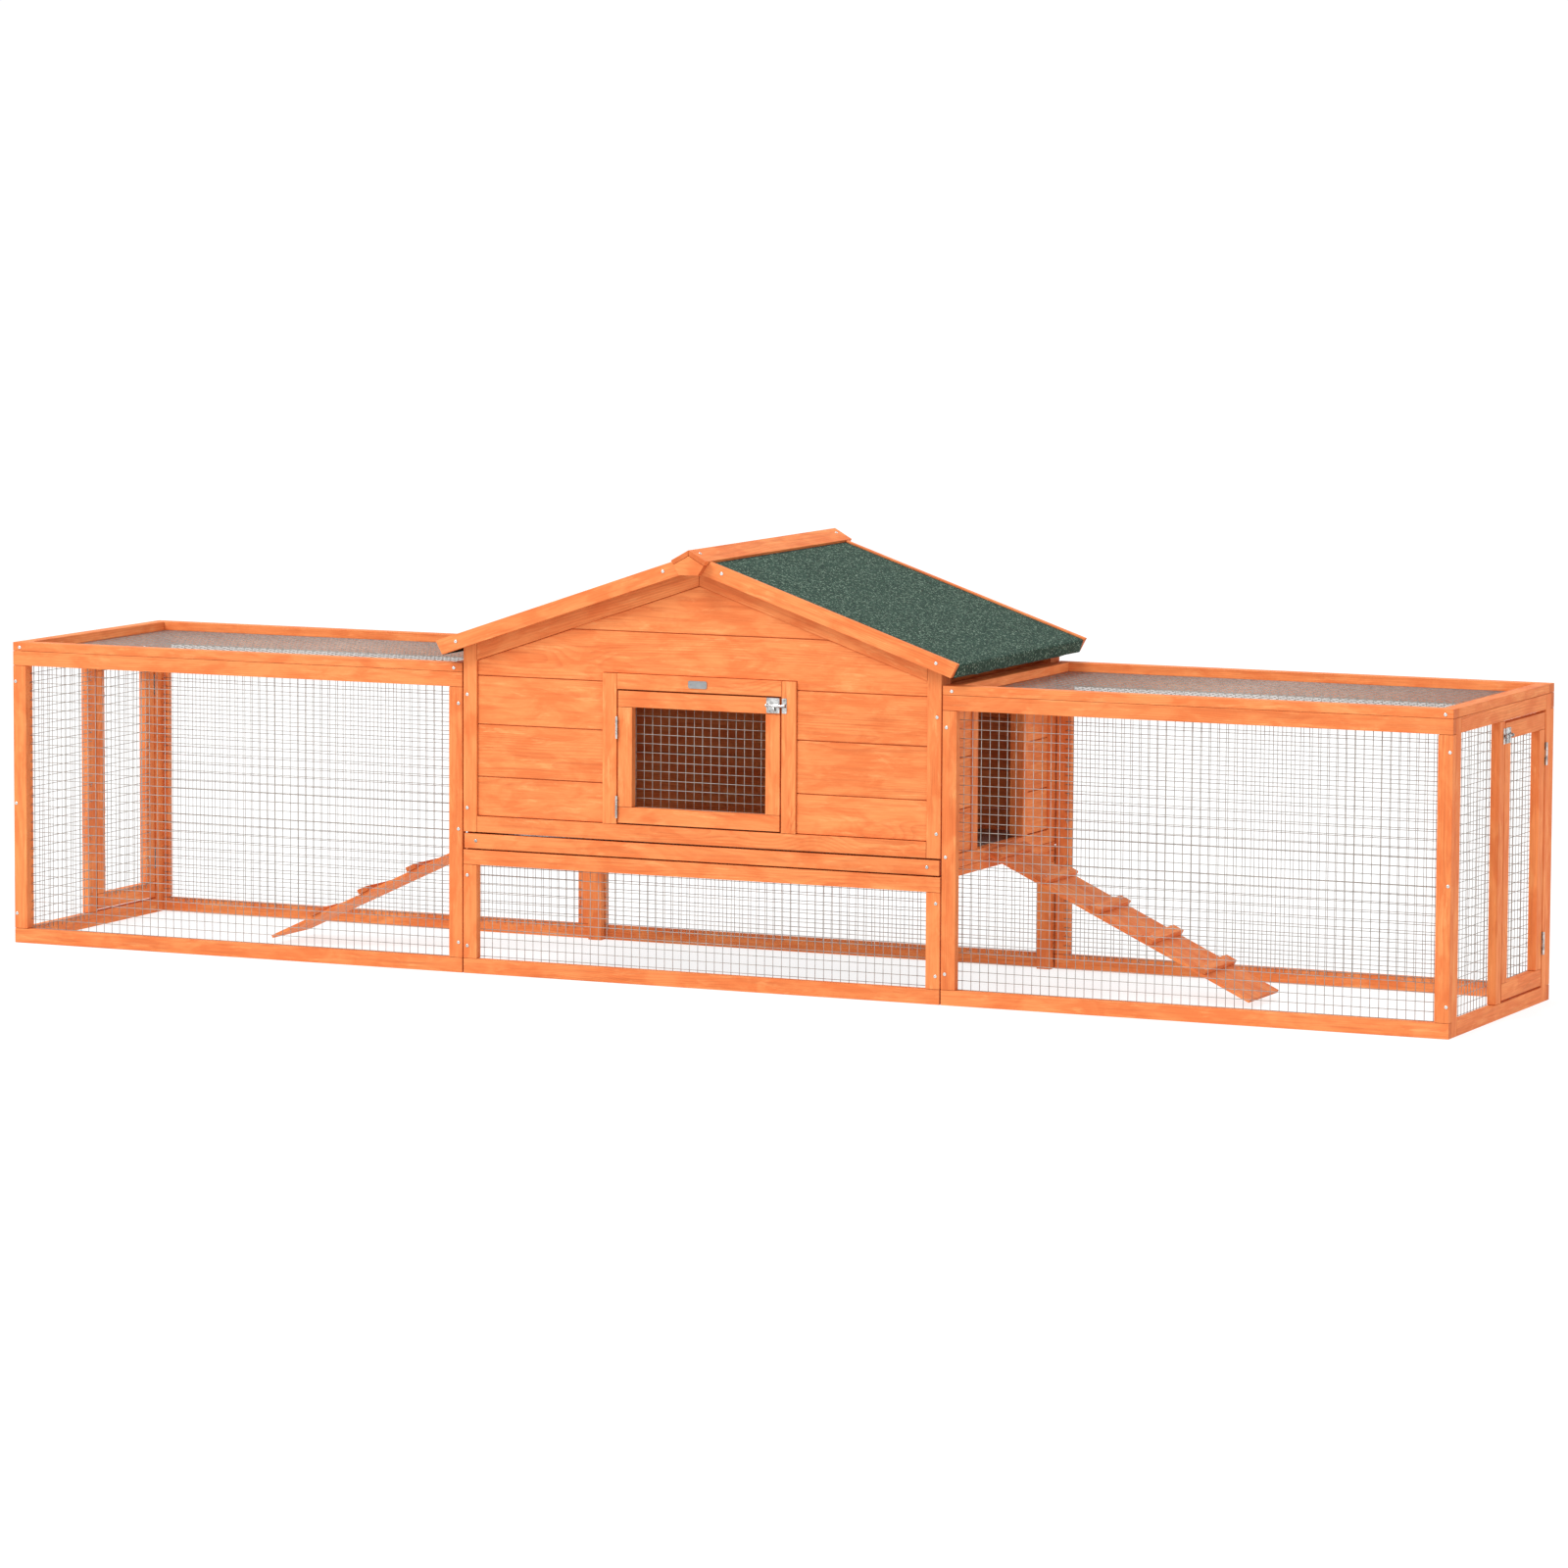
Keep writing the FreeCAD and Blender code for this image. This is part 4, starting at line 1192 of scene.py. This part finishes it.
def add_stage():
    bm = bmesh.new()
    bmesh.ops.create_circle(bm, cap_ends=True, segments=96, radius=FLOOR_R)
    mesh = bpy.data.meshes.new("floor")
    bm.to_mesh(mesh)
    bm.free()
    s = Shader("floor")
    s.set(
        Base_Color=(0.24, 0.24, 0.24, 1.0),
        Roughness=0.9,
        Specular_IOR_Level=0.0,
        Emission_Color=(1.0, 1.0, 1.0, 1.0),
        Emission_Strength=0.82,
    )
    mesh.materials.append(s.material)
    floor = bpy.data.objects.new("floor", mesh)
    floor.location.z = -FLOOR_DROP
    bpy.context.scene.collection.objects.link(floor)


def add_area_light(name, place, aim, size, watts):
    light = bpy.data.lights.new(name, "AREA")
    light.shape = "DISK"
    light.size = size
    light.energy = watts
    lamp = bpy.data.objects.new(name, light)
    lamp.location = place
    lamp.rotation_euler = (Vector(aim) - Vector(place)).to_track_quat("-Z", "Y").to_euler()
    bpy.context.scene.collection.objects.link(lamp)


def add_world(strength):
    world = bpy.data.worlds.new("studio")
    world.use_nodes = True
    sky = world.node_tree.nodes["Background"]
    sky.inputs["Color"].default_value = (1, 1, 1, 1)
    sky.inputs["Strength"].default_value = strength
    bpy.context.scene.world = world


CAMERA_PLACE = Vector((5.5826, -12.1878, 1.8288))
CAMERA_YAW = 0.4263         # turned left from +Y
CAMERA_PITCH = 0.1081       # looking down
CAMERA_ROLL = 0.005
CAMERA_LENS = 155.64


def add_camera():
    ahead = Vector(
        (
            -math.sin(CAMERA_YAW) * math.cos(CAMERA_PITCH),
            math.cos(CAMERA_YAW) * math.cos(CAMERA_PITCH),
            -math.sin(CAMERA_PITCH),
        )
    )
    right = Vector((math.cos(CAMERA_YAW), math.sin(CAMERA_YAW), 0))
    up = right.cross(ahead)
    turned = right * math.cos(CAMERA_ROLL) + up * math.sin(CAMERA_ROLL)
    up = up * math.cos(CAMERA_ROLL) - right * math.sin(CAMERA_ROLL)
    data = bpy.data.cameras.new("camera")
    data.sensor_width = 36
    data.lens = CAMERA_LENS
    data.clip_end = 500
    camera = bpy.data.objects.new("camera", data)
    camera.matrix_world = Matrix.Translation(CAMERA_PLACE) @ Matrix(
        (turned, up, -ahead)
    ).transposed().to_4x4()
    bpy.context.scene.collection.objects.link(camera)
    bpy.context.scene.camera = camera


add_stage()
add_world(WORLD_LIGHT)
add_area_light("key", place=(-4.5, -7.0, 9.0), aim=(0, 0, 0.4), size=5.0, watts=860)
add_camera()
bpy.context.scene.view_settings.view_transform = "Standard"
